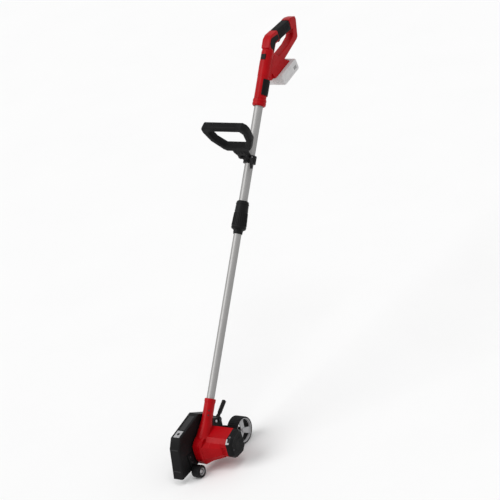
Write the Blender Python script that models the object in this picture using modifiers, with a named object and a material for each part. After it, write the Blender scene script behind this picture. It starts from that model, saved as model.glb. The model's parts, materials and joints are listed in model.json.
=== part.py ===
"""Cordless lawn edger, modelled in metres with +Z up.

The machine stands in its working position: forward is -Y, the handle is at +Y and the motor is at +X.
Front roller and rear wheel stand on the ground, and the tube leans back over the rear wheel.
"""

import math

import bmesh
import bpy

# Driving dimensions, in metres

GAP = 0.0003
RUN = 0.0003

SPINDLE_Y = 0.067
SPINDLE_Z = 0.070
SPINDLE_RADIUS = 0.005

TUBE_LEAN = math.radians(40.1)
TUBE_AHEAD = 0.019
TUBE_X = -0.001
LOWER_TUBE_RADIUS = 0.0127
LOWER_TUBE_WALL = 0.0015
LOWER_TUBE_START = 0.052
LOWER_TUBE_END = 0.835
UPPER_TUBE_WALL = 0.00115
UPPER_TUBE_START = 0.715
UPPER_TUBE_END = 1.143

DRUM_INSIDE = 0.0432
DRUM_LEFT = -0.018
DRUM_RIGHT = 0.016
DRUM_CHAMFER = 0.005
SHELL_WALL = 0.003
NECK_RADIUS = 0.0172
NECK_TOP = 0.151
FLARE_RADIUS = 0.0265
FLARE_START = 0.020
FLARE_END = 0.085

GEAR_MODULE = 0.001
GEAR_TEETH = 29
PINION_TEETH = 9
GEAR_WIDTH = 0.008
MESH_PLAY = 0.0003
MOTOR_DIRECTION = math.radians(27.0)

BARREL_FRONT = 0.035
BARREL_REAR = 0.037
BARREL_BELOW = 0.034
BARREL_ABOVE = 0.034
BARREL_CROWN = 0.012
BARREL_CHAMFER = 0.013
BARREL_END = 0.094
CAP_LENGTH = 0.021
CAP_CHAMFER = 0.006

CAN_RADIUS = 0.0253
CAN_WALL = 0.002
CAN_LENGTH = 0.064
ARMATURE_RADIUS = 0.020
SHAFT_RADIUS = 0.0025
PINION_SHAFT_RADIUS = 0.002
FAN_RADIUS = 0.020

PLATE_THICKNESS = 0.006
OUTER_BEARING_RADIUS = 0.013
OUTER_BEARING_WIDTH = 0.0074
INNER_BEARING_RADIUS = 0.0095
REAR_BEARING_RADIUS = 0.008
REAR_BEARING_WIDTH = 0.006

GUARD_DEPTH = 0.036
GUARD_WALL = 0.003
GUARD_EDGE = 0.004
BLADE_LENGTH = 0.180
BLADE_WIDTH = 0.034
BLADE_THICKNESS = 0.0025
BLADE_OFFSET = 0.0185
BLADE_REST_ANGLE = math.radians(-22.0)
FLANGE_RADIUS = 0.016

ROLLER_RADIUS = 0.0205
ROLLER_WIDTH = 0.030
ROLLER_RECESS = 0.006
ROLLER_BOLT_RADIUS = 0.004

WHEEL_RADIUS = 0.045
WHEEL_WIDTH = 0.040
WHEEL_Y = 0.212
WHEEL_INNER_X = 0.009
TYRE_THICKNESS = 0.0045
AXLE_RADIUS = 0.004
ARM_THICKNESS = 0.007
PIVOT_Y = 0.148
PIVOT_Z = 0.120
LEVER_LENGTH = 0.062
LEVER_ANGLE = math.radians(32.0)

SLEEVE_START = 0.689
SLEEVE_LENGTH = 0.109
SLEEVE_TOP_RADIUS = 0.0208
SLEEVE_FOOT_RADIUS = 0.0250
NOZZLE_RADIUS = 0.0160

CLAMP_START = 0.923
CLAMP_LENGTH = 0.026
CLAMP_WALL = 0.0062
AUX_PIVOT_AHEAD = 0.027
AUX_TILT = math.radians(67.0)
AUX_HALF_WIDTH = 0.088
AUX_REACH = 0.168
AUX_BAND = 0.026
AUX_BAR = 0.023
AUX_FOOT = 0.044
AUX_BOLT_RADIUS = 0.003
LUG_HALF_WIDTH = 0.009

COLLAR_START = 1.115
COLLAR_LENGTH = 0.025
COLLAR_RADIUS = 0.0217
HANDLE_RADIUS = 0.0203
HANDLE_WALL = 0.0035
LOOP_HALF_WIDTH = 0.0155
GRIP_HEIGHT = 0.036
GRIP_LENGTH = 0.078
GRIP_SKIN = 0.003
GRIP_SLOPE = math.radians(3.8)
BATTERY_SLOPE = math.radians(11.0)
BATTERY_LENGTH = 0.100
BATTERY_WIDTH = 0.078
BATTERY_HEIGHT = 0.0415
BATTERY_SETBACK = 0.018
BASE_HALF_WIDTH = 0.024

# Materials

def material(name, colour, roughness, metallic=0.0):
    made = bpy.data.materials.new(name)
    made.use_nodes = True
    shader = made.node_tree.nodes["Principled BSDF"]
    shader.inputs["Base Color"].default_value = (*colour, 1.0)
    shader.inputs["Roughness"].default_value = roughness
    shader.inputs["Metallic"].default_value = metallic
    return made


for old in list(bpy.data.objects):
    bpy.data.objects.remove(old, do_unlink=True)

RED = material("red_plastic", (0.55, 0.012, 0.02), 0.35)
BLACK = material("black_plastic", (0.015, 0.015, 0.016), 0.5)
RUBBER = material("soft_black", (0.012, 0.012, 0.013), 0.75)
GREY = material("grey_hub", (0.42, 0.42, 0.43), 0.45)
PALE = material("pale_battery", (0.62, 0.61, 0.61), 0.4)
TUBE = material("tube_grey", (0.42, 0.41, 0.40), 0.35, 0.8)
STEEL = material("steel", (0.60, 0.60, 0.61), 0.3, 1.0)
DARK_STEEL = material("dark_steel", (0.10, 0.10, 0.11), 0.45, 0.9)
BRASS = material("brass", (0.75, 0.55, 0.25), 0.35, 1.0)
BOARD = material("circuit_board", (0.02, 0.16, 0.06), 0.5)

# Collections and frames

parts = bpy.data.collections.new("lawn_edger")
cutters = bpy.data.collections.new("cutters")
bpy.context.scene.collection.children.link(parts)
bpy.context.scene.collection.children.link(cutters)

ALONG_X = (0.0, math.pi / 2, 0.0)
SIDE_ON = (math.pi / 2, 0.0, math.pi / 2)


def frame(name, location=(0.0, 0.0, 0.0), tilt=0.0, parent=None):
    """An empty that carries pieces, turned by tilt about X."""
    made = bpy.data.objects.new(name, None)
    made.empty_display_size = 0.02
    parts.objects.link(made)
    made.parent = parent
    made.location = location
    made.rotation_euler = (tilt, 0.0, 0.0)
    return made


def place(name, mesh, parent, finish, location=(0.0, 0.0, 0.0), rotation=(0.0, 0.0, 0.0)):
    """Puts a mesh in the scene: a part if it has a finish, and otherwise a cutter."""
    made = bpy.data.objects.new(name, mesh)
    made.parent = parent
    made.location = location
    made.rotation_euler = rotation
    if finish is None:
        cutters.objects.link(made)
        made.hide_render = True
        made.display_type = "WIRE"
    else:
        parts.objects.link(made)
        mesh.materials.append(finish)
    return made


# Shapes


def prism(name, outlines, low, high, parent, finish=None, along="X"):
    """A flat outline with any holes, from low to high along one axis of the parent.

    Its points are (y, z) along X, (x, z) along Y and (x, y) along Z.
    """
    shape = bpy.data.curves.new(name, "CURVE")
    shape.dimensions = "2D"
    shape.fill_mode = "BOTH"
    shape.extrude = (high - low) / 2
    for outline in outlines:
        spline = shape.splines.new("POLY")
        spline.points.add(len(outline) - 1)
        for point, (across, up) in zip(spline.points, outline):
            point.co = (across, up, 0.0, 1.0)
        spline.use_cyclic_u = True
    sketch = bpy.data.objects.new(name + "_sketch", shape)
    cutters.objects.link(sketch)
    bpy.context.view_layer.update()
    seen = sketch.evaluated_get(bpy.context.evaluated_depsgraph_get())
    mesh = bpy.data.meshes.new_from_object(seen)
    bpy.data.objects.remove(sketch)
    weld(mesh)
    middle = (low + high) / 2
    if along == "X":
        return place(name, mesh, parent, finish, (middle, 0.0, 0.0), SIDE_ON)
    if along == "Y":
        return place(name, mesh, parent, finish, (0.0, middle, 0.0), (math.pi / 2, 0.0, 0.0))
    return place(name, mesh, parent, finish, (0.0, 0.0, middle))


def weld(mesh):
    """Joins the loose caps of a converted curve to its walls."""
    work = bmesh.new()
    work.from_mesh(mesh)
    bmesh.ops.remove_doubles(work, verts=work.verts, dist=0.00001)
    bmesh.ops.recalc_face_normals(work, faces=work.faces)
    work.to_mesh(mesh)
    work.free()


def block(name, low, high, parent, finish=None, taper=1.0):
    """A box between two corners; taper narrows its top face along X."""
    work = bmesh.new()
    bmesh.ops.create_cube(work, size=1.0)
    for vert in work.verts:
        narrow = taper if vert.co.z > 0 else 1.0
        vert.co.x *= (high[0] - low[0]) * narrow
        vert.co.y *= high[1] - low[1]
        vert.co.z *= high[2] - low[2]
    mesh = bpy.data.meshes.new(name)
    work.to_mesh(mesh)
    work.free()
    centre = [(a + b) / 2 for a, b in zip(low, high)]
    return place(name, mesh, parent, finish, centre)


def cylinder(name, radius, low, high, parent, finish=None, at=(0.0, 0.0), along="X", sides=24, top=None):
    """A round bar from low to high along one axis of the parent, through the point at on the other two."""
    work = bmesh.new()
    bmesh.ops.create_cone(work, cap_ends=True, cap_tris=False, segments=sides,
                          radius1=radius, radius2=radius if top is None else top, depth=high - low)
    mesh = bpy.data.meshes.new(name)
    work.to_mesh(mesh)
    work.free()
    mesh.shade_smooth()
    mesh.set_sharp_from_angle(angle=math.radians(35))
    middle = (low + high) / 2
    if along == "X":
        return place(name, mesh, parent, finish, (middle, at[0], at[1]), ALONG_X)
    if along == "Y":
        return place(name, mesh, parent, finish, (at[0], middle, at[1]), (-math.pi / 2, 0.0, 0.0))
    return place(name, mesh, parent, finish, (at[0], at[1], middle))


def turned(name, profile, parent, finish=None, at=(0.0, 0.0), along="X", sides=32):
    """A profile of (radius, station) points, from the far end inwards, turned about one axis.

    A profile that leaves the axis is closed, and runs down its outer side first.
    """
    mesh = bpy.data.meshes.new(name)
    count = len(profile)
    ring = profile[0][0] > 0.0
    edges = [(i, i + 1) for i in range(count - 1)]
    if ring:
        edges.append((count - 1, 0))
    mesh.from_pydata([(radius, 0.0, station) for radius, station in profile], edges, [])
    if along == "X":
        made = place(name, mesh, parent, finish, (0.0, at[0], at[1]), ALONG_X)
    else:
        made = place(name, mesh, parent, finish, (at[0], at[1], 0.0))
    screw = made.modifiers.new("turn", "SCREW")
    screw.axis = "Z"
    screw.angle = 2 * math.pi
    screw.screw_offset = 0.0
    screw.steps = sides
    screw.render_steps = sides
    screw.use_merge_vertices = True
    screw.merge_threshold = 0.00005
    screw.use_smooth_shade = True
    return made


def combine(target, tool, operation="DIFFERENCE"):
    change = target.modifiers.new(tool.name, "BOOLEAN")
    change.operation = operation
    change.solver = "EXACT"
    change.object = tool
    return target


def soften(target, width, segments=2, angle=35.0):
    rounding = target.modifiers.new("edges", "BEVEL")
    rounding.width = width
    rounding.segments = segments
    rounding.limit_method = "ANGLE"
    rounding.angle_limit = math.radians(angle)
    return target


def soften_rim(target, width, segments=1, both=False):
    """Bevels only the rim at the far end of a prism, or the rims at both ends."""
    work = bmesh.new()
    work.from_mesh(target.data)
    level = max(vert.co.z for vert in work.verts) - 0.00001
    weight = work.edges.layers.float.new("bevel_weight_edge")
    for edge in work.edges:
        at_rim = all(vert.co.z > level for vert in edge.verts)
        if both:
            at_rim = at_rim or all(vert.co.z < -level for vert in edge.verts)
        if at_rim and edge.calc_face_angle(0.0) > 0.5:
            edge[weight] = 1.0
    work.to_mesh(target.data)
    work.free()
    rounding = target.modifiers.new("rim", "BEVEL")
    rounding.width = width
    rounding.segments = segments
    rounding.limit_method = "WEIGHT"
    return target


def bore(radius, sides):
    """The corner radius of a faceted hole whose flats clear a bar of the given radius."""
    return (radius + RUN) / math.cos(math.pi / sides)


def arc(centre, radius, start, end, steps):
    """Points on a circle from one angle to another, in degrees."""
    points = []
    for step in range(steps + 1):
        angle = math.radians(start + (end - start) * step / steps)
        points.append((centre[0] + radius * math.cos(angle), centre[1] + radius * math.sin(angle)))
    return points


def unit(across, up):
    length = math.hypot(across, up)
    return across / length, up / length


def inset(corners, distance):
    """An outline moved inwards by one wall; corners run anticlockwise."""
    outline = []
    count = len(corners)
    for index, corner in enumerate(corners):
        before = corners[index - 1]
        after = corners[(index + 1) % count]
        first = unit(corner[0] - before[0], corner[1] - before[1])
        second = unit(after[0] - corner[0], after[1] - corner[1])
        normal_a = (-first[1], first[0])
        normal_b = (-second[1], second[0])
        bisector = (normal_a[0] + normal_b[0], normal_a[1] + normal_b[1])
        scale = distance / (1 + normal_a[0] * normal_b[0] + normal_a[1] * normal_b[1])
        outline.append((corner[0] + bisector[0] * scale, corner[1] + bisector[1] * scale))
    return outline


def toothed(teeth, root, tip, share_root, share_tip, phase=0.0):
    """A toothed outline whose teeth narrow from root to tip; the shares are of one pitch."""
    outline = []
    pitch = 2 * math.pi / teeth
    for tooth in range(teeth):
        centre = phase + tooth * pitch
        for radius, offset in ((root, -share_root / 2), (tip, -share_tip / 2),
                               (tip, share_tip / 2), (root, share_root / 2)):
            angle = centre + offset * pitch
            outline.append((radius * math.cos(angle), radius * math.sin(angle)))
    return outline


def screw(name, head_radius, head_height, shank_radius, length, parent, location, rotation=ALONG_X, finish=STEEL):
    """A pan head screw; its seat is at the location, its shank runs down its own -Z and its head up."""
    profile = [(0.0, head_height), (head_radius * 0.75, head_height), (head_radius, head_height * 0.6),
               (head_radius, 0.0), (shank_radius, 0.0), (shank_radius, -length), (0.0, -length)]
    made = turned(name, profile, parent, finish, along="Z", sides=16)
    made.location = location
    made.rotation_euler = rotation
    return made


# Frames of the machine

root = frame("root")
spindle_axis = frame("spindle_axis", (0.0, SPINDLE_Y, SPINDLE_Z), parent=root)
CENTRE_DISTANCE = GEAR_MODULE * (GEAR_TEETH + PINION_TEETH) / 2 + MESH_PLAY
MOTOR_Y = SPINDLE_Y + CENTRE_DISTANCE * math.cos(MOTOR_DIRECTION)
MOTOR_Z = SPINDLE_Z + CENTRE_DISTANCE * math.sin(MOTOR_DIRECTION)
motor_axis = frame("motor_axis", (0.0, MOTOR_Y, MOTOR_Z), parent=root)
tube_foot = (TUBE_X, SPINDLE_Y - TUBE_AHEAD * math.cos(TUBE_LEAN), SPINDLE_Z + TUBE_AHEAD * math.sin(TUBE_LEAN))
tube_frame = frame("tube_frame", tube_foot, -TUBE_LEAN, root)
roller_axis = frame("roller_axis", (0.0, 0.0, ROLLER_RADIUS), parent=root)
depth_axis = frame("depth_axis", (0.0, PIVOT_Y, PIVOT_Z), parent=root)
wheel_axis = frame("wheel_axis", (0.0, WHEEL_Y - PIVOT_Y, WHEEL_RADIUS - PIVOT_Z), parent=depth_axis)

# Head housing: one body, hollowed and then parted in the plane of the tube

OUTER_SEAT = DRUM_LEFT + SHELL_WALL
PLATE_START = DRUM_RIGHT - SHELL_WALL - GAP - PLATE_THICKNESS - 0.001
CAN_START = PLATE_START + PLATE_THICKNESS + GAP
BEARING_BOSS = OUTER_BEARING_RADIUS + RUN + SHELL_WALL
BOSS_END = OUTER_SEAT + GAP + OUTER_BEARING_WIDTH

drum_corners = [
    (0.0495, -0.0120), (0.0480, 0.0200), (0.0340, 0.0400), (0.0000, 0.0500), (-0.0340, 0.0410), (-0.0465, 0.0300),
    (-0.0500, 0.0120), (-0.0475, -0.0180), (-0.0375, -0.0410), (-0.0290, -0.0465), (0.0200, -0.0465),
    (0.0380, -0.0360),
]
barrel_corners = [
    (-BARREL_FRONT, -BARREL_BELOW + BARREL_CHAMFER),
    (-BARREL_FRONT + BARREL_CHAMFER, -BARREL_BELOW),
    (BARREL_REAR - BARREL_CHAMFER, -BARREL_BELOW),
    (BARREL_REAR, -BARREL_BELOW + BARREL_CHAMFER),
    (BARREL_REAR, BARREL_ABOVE + BARREL_CROWN - BARREL_CHAMFER),
    (BARREL_REAR - BARREL_CHAMFER, BARREL_ABOVE + BARREL_CROWN),
    (-BARREL_FRONT + BARREL_CHAMFER, BARREL_ABOVE),
    (-BARREL_FRONT, BARREL_ABOVE - BARREL_CHAMFER),
]
barrel_inside = inset(barrel_corners, SHELL_WALL)
guard_face = DRUM_LEFT - GAP
guard_inner = guard_face - GUARD_WALL
guard_outer = guard_face - GUARD_DEPTH
guard_corners = [
    (-0.129, -0.046), (0.036, -0.040), (0.098, -0.004), (0.098, 0.064),
    (0.028, 0.104), (-0.089, 0.083), (-0.109, 0.054), (-0.119, 0.003),
]
guard_space = prism("guard_space", [inset(guard_corners, -GAP)], guard_outer, DRUM_LEFT, spindle_axis)


def head_solid(side):
    """The head's outer form with its hollows cut, one copy for each half."""
    drum = prism("drum_" + side, [drum_corners], DRUM_LEFT, DRUM_RIGHT, spindle_axis, RED)
    soften_rim(drum, DRUM_CHAMFER, both=True)
    combine(drum, neck, "UNION")
    combine(drum, flare, "UNION")
    if side == "right":
        combine(drum, barrel, "UNION")
        combine(drum, barrel_hollow)
        for post in cap_posts:
            combine(drum, post, "UNION")
        for hole in cap_holes:
            combine(drum, hole)
        for slit in vent_slits:
            combine(drum, slit)
    combine(drum, guard_space)
    combine(drum, drum_hollow)
    combine(drum, tube_socket)
    combine(drum, cable_way)
    for hole in tube_screw_holes:
        combine(drum, hole)
    return drum


neck = cylinder("neck", NECK_RADIUS, FLARE_START, NECK_TOP, tube_frame, along="Z", sides=32)
flare = cylinder("flare", FLARE_RADIUS, FLARE_START, FLARE_END, tube_frame, along="Z", sides=32, top=NECK_RADIUS)
barrel = prism("barrel", [barrel_corners], 0.0, BARREL_END, motor_axis)
barrel_hollow = prism("barrel_hollow", [barrel_inside], DRUM_RIGHT - SHELL_WALL - 0.001, BARREL_END + 0.001, motor_axis)
drum_hollow = turned("drum_hollow", [
    (0.0, DRUM_RIGHT - SHELL_WALL), (DRUM_INSIDE, DRUM_RIGHT - SHELL_WALL), (DRUM_INSIDE, OUTER_SEAT),
    (BEARING_BOSS, OUTER_SEAT), (BEARING_BOSS, BOSS_END),
    (bore(OUTER_BEARING_RADIUS, 40), BOSS_END), (bore(OUTER_BEARING_RADIUS, 40), OUTER_SEAT),
    (SPINDLE_RADIUS + 0.002, OUTER_SEAT), (SPINDLE_RADIUS + 0.002, DRUM_LEFT - 0.001), (0.0, DRUM_LEFT - 0.001),
], spindle_axis, sides=40)
tube_socket = cylinder("tube_socket", bore(LOWER_TUBE_RADIUS, 32), LOWER_TUBE_START - GAP, NECK_TOP + 0.001,
                       tube_frame, along="Z", sides=32)
cable_way = cylinder("cable_way", 0.006, 0.0, LOWER_TUBE_START, tube_frame, along="Z", sides=16)

TUBE_SCREW_STATIONS = (0.097, 0.112)
TUBE_SCREW_TURN = math.radians(41.0)
TUBE_SCREW_SHANK = 0.0015
TUBE_SCREW_REACH = 0.008
screw_side = (math.sin(TUBE_SCREW_TURN), -math.cos(TUBE_SCREW_TURN))
screw_turn = (math.pi / 2, 0.0, math.pi / 2 + math.atan2(screw_side[1], screw_side[0]))


def tube_screw_hole(name, station):
    hole = cylinder(name, bore(TUBE_SCREW_SHANK, 12), -0.010, 0.012, tube_frame, along="Z", sides=12)
    hole.location = (screw_side[0] * NECK_RADIUS, screw_side[1] * NECK_RADIUS, station)
    hole.rotation_euler = screw_turn
    return hole


tube_screw_holes = [tube_screw_hole(f"tube_screw_hole_{n}", s) for n, s in enumerate(TUBE_SCREW_STATIONS)]

CAP_SCREW_SHANK = 0.0015
CAP_POST_RADIUS = 0.0045
cap_screw_places = [
    (-BARREL_FRONT + SHELL_WALL + CAP_POST_RADIUS, 0.0),
    (BARREL_REAR - SHELL_WALL - CAP_POST_RADIUS, 0.0),
]
cap_posts = []
cap_holes = []
for number, (across, up) in enumerate(cap_screw_places):
    cap_posts.append(cylinder(f"cap_post_{number}", CAP_POST_RADIUS + 0.001, BARREL_END - 0.012, BARREL_END,
                              motor_axis, at=(across, up), sides=16))
    cap_holes.append(cylinder(f"cap_hole_{number}", bore(CAP_SCREW_SHANK, 12), BARREL_END - 0.010,
                              BARREL_END + 0.001, motor_axis, at=(across, up), sides=12))

VENT_COUNT = 5
VENT_LENGTH = 0.016
VENT_HEIGHT = 0.0022
VENT_PITCH = 0.0058
VENT_DROP = 0.006
VENT_START = BARREL_END - 0.004 - VENT_LENGTH
vent_slits = []
for number in range(VENT_COUNT):
    height = (number - (VENT_COUNT - 1) / 2) * VENT_PITCH - VENT_DROP
    low = (VENT_START, -BARREL_FRONT - 0.001, height - VENT_HEIGHT / 2)
    high = (VENT_START + VENT_LENGTH, -BARREL_FRONT + SHELL_WALL + 0.001, height + VENT_HEIGHT / 2)
    vent_slits.append(block(f"vent_slit_{number}", low, high, motor_axis))

beyond_left = block("beyond_left", (TUBE_X - GAP / 2, -0.5, -0.5), (0.5, 0.5, 0.5), root)
beyond_right = block("beyond_right", (-0.5, -0.5, -0.5), (TUBE_X + GAP / 2, 0.5, 0.5), root)
head_left = head_solid("left")
head_left.name = "head_housing_left"
combine(head_left, beyond_left)
head_right = head_solid("right")
head_right.name = "head_housing_right"
combine(head_right, beyond_right)

# Motor end cap

cap_start = BARREL_END + GAP
cap_end = cap_start + CAP_LENGTH
end_cap = prism("motor_end_cap", [barrel_corners], cap_start, cap_end, motor_axis, BLACK)
soften_rim(end_cap, CAP_CHAMFER)
cap_hollow = prism("cap_hollow", [inset(barrel_corners, SHELL_WALL + 0.001)], cap_start - 0.001,
                   cap_end - CAP_CHAMFER - 0.001, motor_axis)
REAR_BEARING_START = cap_start + 0.002
REAR_BEARING_END = REAR_BEARING_START + REAR_BEARING_WIDTH
cap_boss = turned("cap_boss", [
    (REAR_BEARING_RADIUS + RUN + SHELL_WALL, cap_end - CAP_CHAMFER),
    (REAR_BEARING_RADIUS + RUN + SHELL_WALL, REAR_BEARING_START),
    (bore(REAR_BEARING_RADIUS, 24), REAR_BEARING_START),
    (bore(REAR_BEARING_RADIUS, 24), cap_end - CAP_CHAMFER),
], motor_axis, sides=24)
combine(end_cap, cap_hollow)
combine(end_cap, cap_boss, "UNION")
for number, (across, up) in enumerate(cap_screw_places):
    seat = cylinder(f"cap_column_{number}", CAP_POST_RADIUS, cap_start, cap_end - CAP_CHAMFER, motor_axis,
                    at=(across, up), sides=16)
    combine(end_cap, seat, "UNION")
    pass_hole = cylinder(f"cap_pass_{number}", bore(CAP_SCREW_SHANK, 12), cap_start - 0.001, cap_end + 0.001,
                         motor_axis, at=(across, up), sides=12)
    combine(end_cap, pass_hole)
    screw(f"end_cap_screw_{number + 1}", 0.0032, 0.0024, CAP_SCREW_SHANK, CAP_LENGTH + 0.006, motor_axis,
          (cap_end + GAP, across, up))

# Motor and its gear

can_end = CAN_START + CAN_LENGTH
turned("motor_can", [
    (CAN_RADIUS, can_end), (CAN_RADIUS, CAN_START), (bore(SHAFT_RADIUS, 32), CAN_START),
    (bore(SHAFT_RADIUS, 32), CAN_START + CAN_WALL), (CAN_RADIUS - CAN_WALL, CAN_START + CAN_WALL),
    (CAN_RADIUS - CAN_WALL, can_end - CAN_WALL), (SHAFT_RADIUS * 2, can_end - CAN_WALL), (SHAFT_RADIUS * 2, can_end),
], motor_axis, DARK_STEEL)
gear_end = PLATE_START - GAP - 0.003
gear_start = gear_end - GEAR_WIDTH
FAN_START = can_end + 0.003
FAN_DEPTH = 0.007
turned("motor_rotor", [
    (0.0, REAR_BEARING_END - 0.0005), (SHAFT_RADIUS, REAR_BEARING_END - 0.0005), (SHAFT_RADIUS, can_end - 0.004),
    (0.009, can_end - 0.004), (0.009, can_end - 0.014), (ARMATURE_RADIUS, can_end - 0.016),
    (ARMATURE_RADIUS, CAN_START + 0.010), (SHAFT_RADIUS, CAN_START + 0.008), (SHAFT_RADIUS, CAN_START - 0.001),
    (PINION_SHAFT_RADIUS, CAN_START - 0.001), (PINION_SHAFT_RADIUS, gear_start), (0.0, gear_start),
], motor_axis, STEEL, sides=24)
fan = prism("motor_fan", [toothed(9, 0.0085, FAN_RADIUS, 0.5, 0.16)], FAN_START, FAN_START + FAN_DEPTH, motor_axis,
            BLACK)
combine(fan, cylinder("fan_bore", bore(SHAFT_RADIUS, 16), FAN_START - 0.001, FAN_START + FAN_DEPTH + 0.001,
                      motor_axis, sides=16))
turned("motor_rear_bearing", [
    (REAR_BEARING_RADIUS, REAR_BEARING_END), (REAR_BEARING_RADIUS, REAR_BEARING_START),
    (bore(SHAFT_RADIUS, 24), REAR_BEARING_START), (bore(SHAFT_RADIUS, 24), REAR_BEARING_END),
], motor_axis, BRASS, sides=24)

PITCH_RADIUS_PINION = GEAR_MODULE * PINION_TEETH / 2
PITCH_RADIUS_GEAR = GEAR_MODULE * GEAR_TEETH / 2
pinion = prism("pinion", [
    toothed(PINION_TEETH, PITCH_RADIUS_PINION - GEAR_MODULE * 1.15, PITCH_RADIUS_PINION + GEAR_MODULE * 0.7,
            0.54, 0.22, MOTOR_DIRECTION + math.pi),
], gear_start, gear_end, motor_axis, STEEL)
combine(pinion, cylinder("pinion_bore", bore(PINION_SHAFT_RADIUS, 16), gear_start - 0.001, gear_end + 0.001,
                         motor_axis, sides=16))
drive_gear = prism("drive_gear", [
    toothed(GEAR_TEETH, PITCH_RADIUS_GEAR - GEAR_MODULE * 1.15, PITCH_RADIUS_GEAR + GEAR_MODULE * 0.7,
            0.54, 0.22, MOTOR_DIRECTION + math.pi / GEAR_TEETH),
], gear_start, gear_end, spindle_axis, STEEL)
combine(drive_gear, cylinder("gear_bore", bore(SPINDLE_RADIUS, 24), gear_start - 0.001, gear_end + 0.001,
                             spindle_axis, sides=24))

# Gear plate and spindle bearings

gear_plate = cylinder("gear_plate", DRUM_INSIDE - GAP, PLATE_START, PLATE_START + PLATE_THICKNESS, spindle_axis,
                      STEEL, sides=40)
combine(gear_plate, cylinder("plate_seat", bore(INNER_BEARING_RADIUS, 24), PLATE_START - 0.001,
                             PLATE_START + PLATE_THICKNESS + 0.001, spindle_axis, sides=24))
combine(gear_plate, cylinder("plate_window", PITCH_RADIUS_PINION + GEAR_MODULE + 0.0006, PLATE_START - 0.001,
                             PLATE_START + PLATE_THICKNESS + 0.001, motor_axis, sides=20))
turned("spindle_bearing_inner", [
    (INNER_BEARING_RADIUS, PLATE_START + PLATE_THICKNESS - GAP), (INNER_BEARING_RADIUS, PLATE_START + GAP),
    (bore(SPINDLE_RADIUS, 24), PLATE_START + GAP), (bore(SPINDLE_RADIUS, 24), PLATE_START + PLATE_THICKNESS - GAP),
], spindle_axis, STEEL, sides=24)
turned("spindle_bearing_outer", [
    (OUTER_BEARING_RADIUS, BOSS_END), (OUTER_BEARING_RADIUS, OUTER_SEAT + GAP),
    (bore(SPINDLE_RADIUS, 24), OUTER_SEAT + GAP), (bore(SPINDLE_RADIUS, 24), BOSS_END),
], spindle_axis, STEEL, sides=24)

# Guard: a deep cover over the blade, open below and on its outer side

guard = prism("blade_guard", [guard_corners], guard_outer, guard_face, spindle_axis, BLACK)
soften_rim(guard, GUARD_EDGE, 2)
hollow_corners = inset(guard_corners, GUARD_WALL)
below = guard_corners[0][1] - 0.030
hollow_corners = [(hollow_corners[0][0], below), (hollow_corners[2][0], below)] + hollow_corners[3:]
combine(guard, prism("guard_hollow", [hollow_corners], guard_outer - 0.001, guard_inner, spindle_axis))
combine(guard, cylinder("guard_hole", BEARING_BOSS - 0.003, guard_outer, guard_face + 0.001, spindle_axis, sides=24))

PLATE_SETBACK = 0.0175
PLATE_HALF_LENGTH = 0.0150
PLATE_HALF_WIDTH = 0.0110
brow = guard_corners[5]
crown = guard_corners[4]
plate_tilt = math.atan2(crown[1] - brow[1], crown[0] - brow[0])
plate_frame = frame("plate_frame", (0.0, brow[0] + PLATE_SETBACK * math.cos(plate_tilt),
                                    brow[1] + PLATE_SETBACK * math.sin(plate_tilt)), plate_tilt, spindle_axis)
plate_middle = guard_face - GUARD_DEPTH * 0.46
guard_plate = block("guard_plate", (plate_middle - PLATE_HALF_WIDTH, -PLATE_HALF_LENGTH, GAP),
                    (plate_middle + PLATE_HALF_WIDTH, PLATE_HALF_LENGTH, GAP + 0.002), plate_frame, STEEL)
combine(guard_plate, cylinder("plate_hole", 0.005, -0.001, GAP + 0.003, plate_frame, at=(plate_middle, 0.0),
                              along="Z"))

GUARD_SCREW_CIRCLE = 0.034
GUARD_SCREW_SHANK = 0.002
for number, degrees in enumerate((100.0, 250.0)):
    across = GUARD_SCREW_CIRCLE * math.cos(math.radians(degrees))
    up = GUARD_SCREW_CIRCLE * math.sin(math.radians(degrees))
    hole = cylinder(f"guard_screw_hole_{number}", bore(GUARD_SCREW_SHANK, 12), guard_outer, OUTER_SEAT + 0.001,
                    spindle_axis, at=(across, up), sides=12)
    combine(guard, hole)
    combine(head_left, hole)
    screw(f"guard_screw_{number + 1}", 0.004, 0.0024, GUARD_SCREW_SHANK, GUARD_WALL + SHELL_WALL + 0.002,
          spindle_axis, (guard_inner - GAP, across, up), (0.0, -math.pi / 2, 0.0))

# Blade, on the spindle

blade_middle = guard_face - BLADE_OFFSET
blade_right = blade_middle + BLADE_THICKNESS / 2
blade_left = blade_middle - BLADE_THICKNESS / 2
NUT_HEIGHT = 0.006
turned("blade_spindle", [
    (0.0, PLATE_START + PLATE_THICKNESS - GAP), (SPINDLE_RADIUS, PLATE_START + PLATE_THICKNESS - GAP),
    (SPINDLE_RADIUS, blade_left - NUT_HEIGHT - 0.002), (SPINDLE_RADIUS - 0.001, blade_left - NUT_HEIGHT - 0.003),
    (0.0, blade_left - NUT_HEIGHT - 0.003),
], spindle_axis, STEEL, sides=24)
turned("blade_flange", [
    (0.009, OUTER_SEAT - SHELL_WALL - 0.0045), (0.009, blade_right + 0.0045), (FLANGE_RADIUS, blade_right + 0.003),
    (FLANGE_RADIUS, blade_right + GAP), (bore(SPINDLE_RADIUS, 24), blade_right + GAP),
    (bore(SPINDLE_RADIUS, 24), OUTER_SEAT - SHELL_WALL - 0.0045),
], spindle_axis, STEEL, sides=24)
half_length = BLADE_LENGTH / 2
half_width = BLADE_WIDTH / 2
blade_shape = [
    (-half_length, -half_width * 0.45), (-half_length * 0.80, -half_width), (half_length * 0.80, -half_width),
    (half_length, -half_width * 0.45), (half_length, half_width * 0.45), (half_length * 0.80, half_width),
    (-half_length * 0.80, half_width), (-half_length, half_width * 0.45),
]
cosine = math.cos(BLADE_REST_ANGLE)
sine = math.sin(BLADE_REST_ANGLE)
blade_outline = [(across * cosine - up * sine, across * sine + up * cosine) for across, up in blade_shape]
blade = prism("edger_blade", [blade_outline], blade_left, blade_right, spindle_axis, DARK_STEEL)
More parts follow.
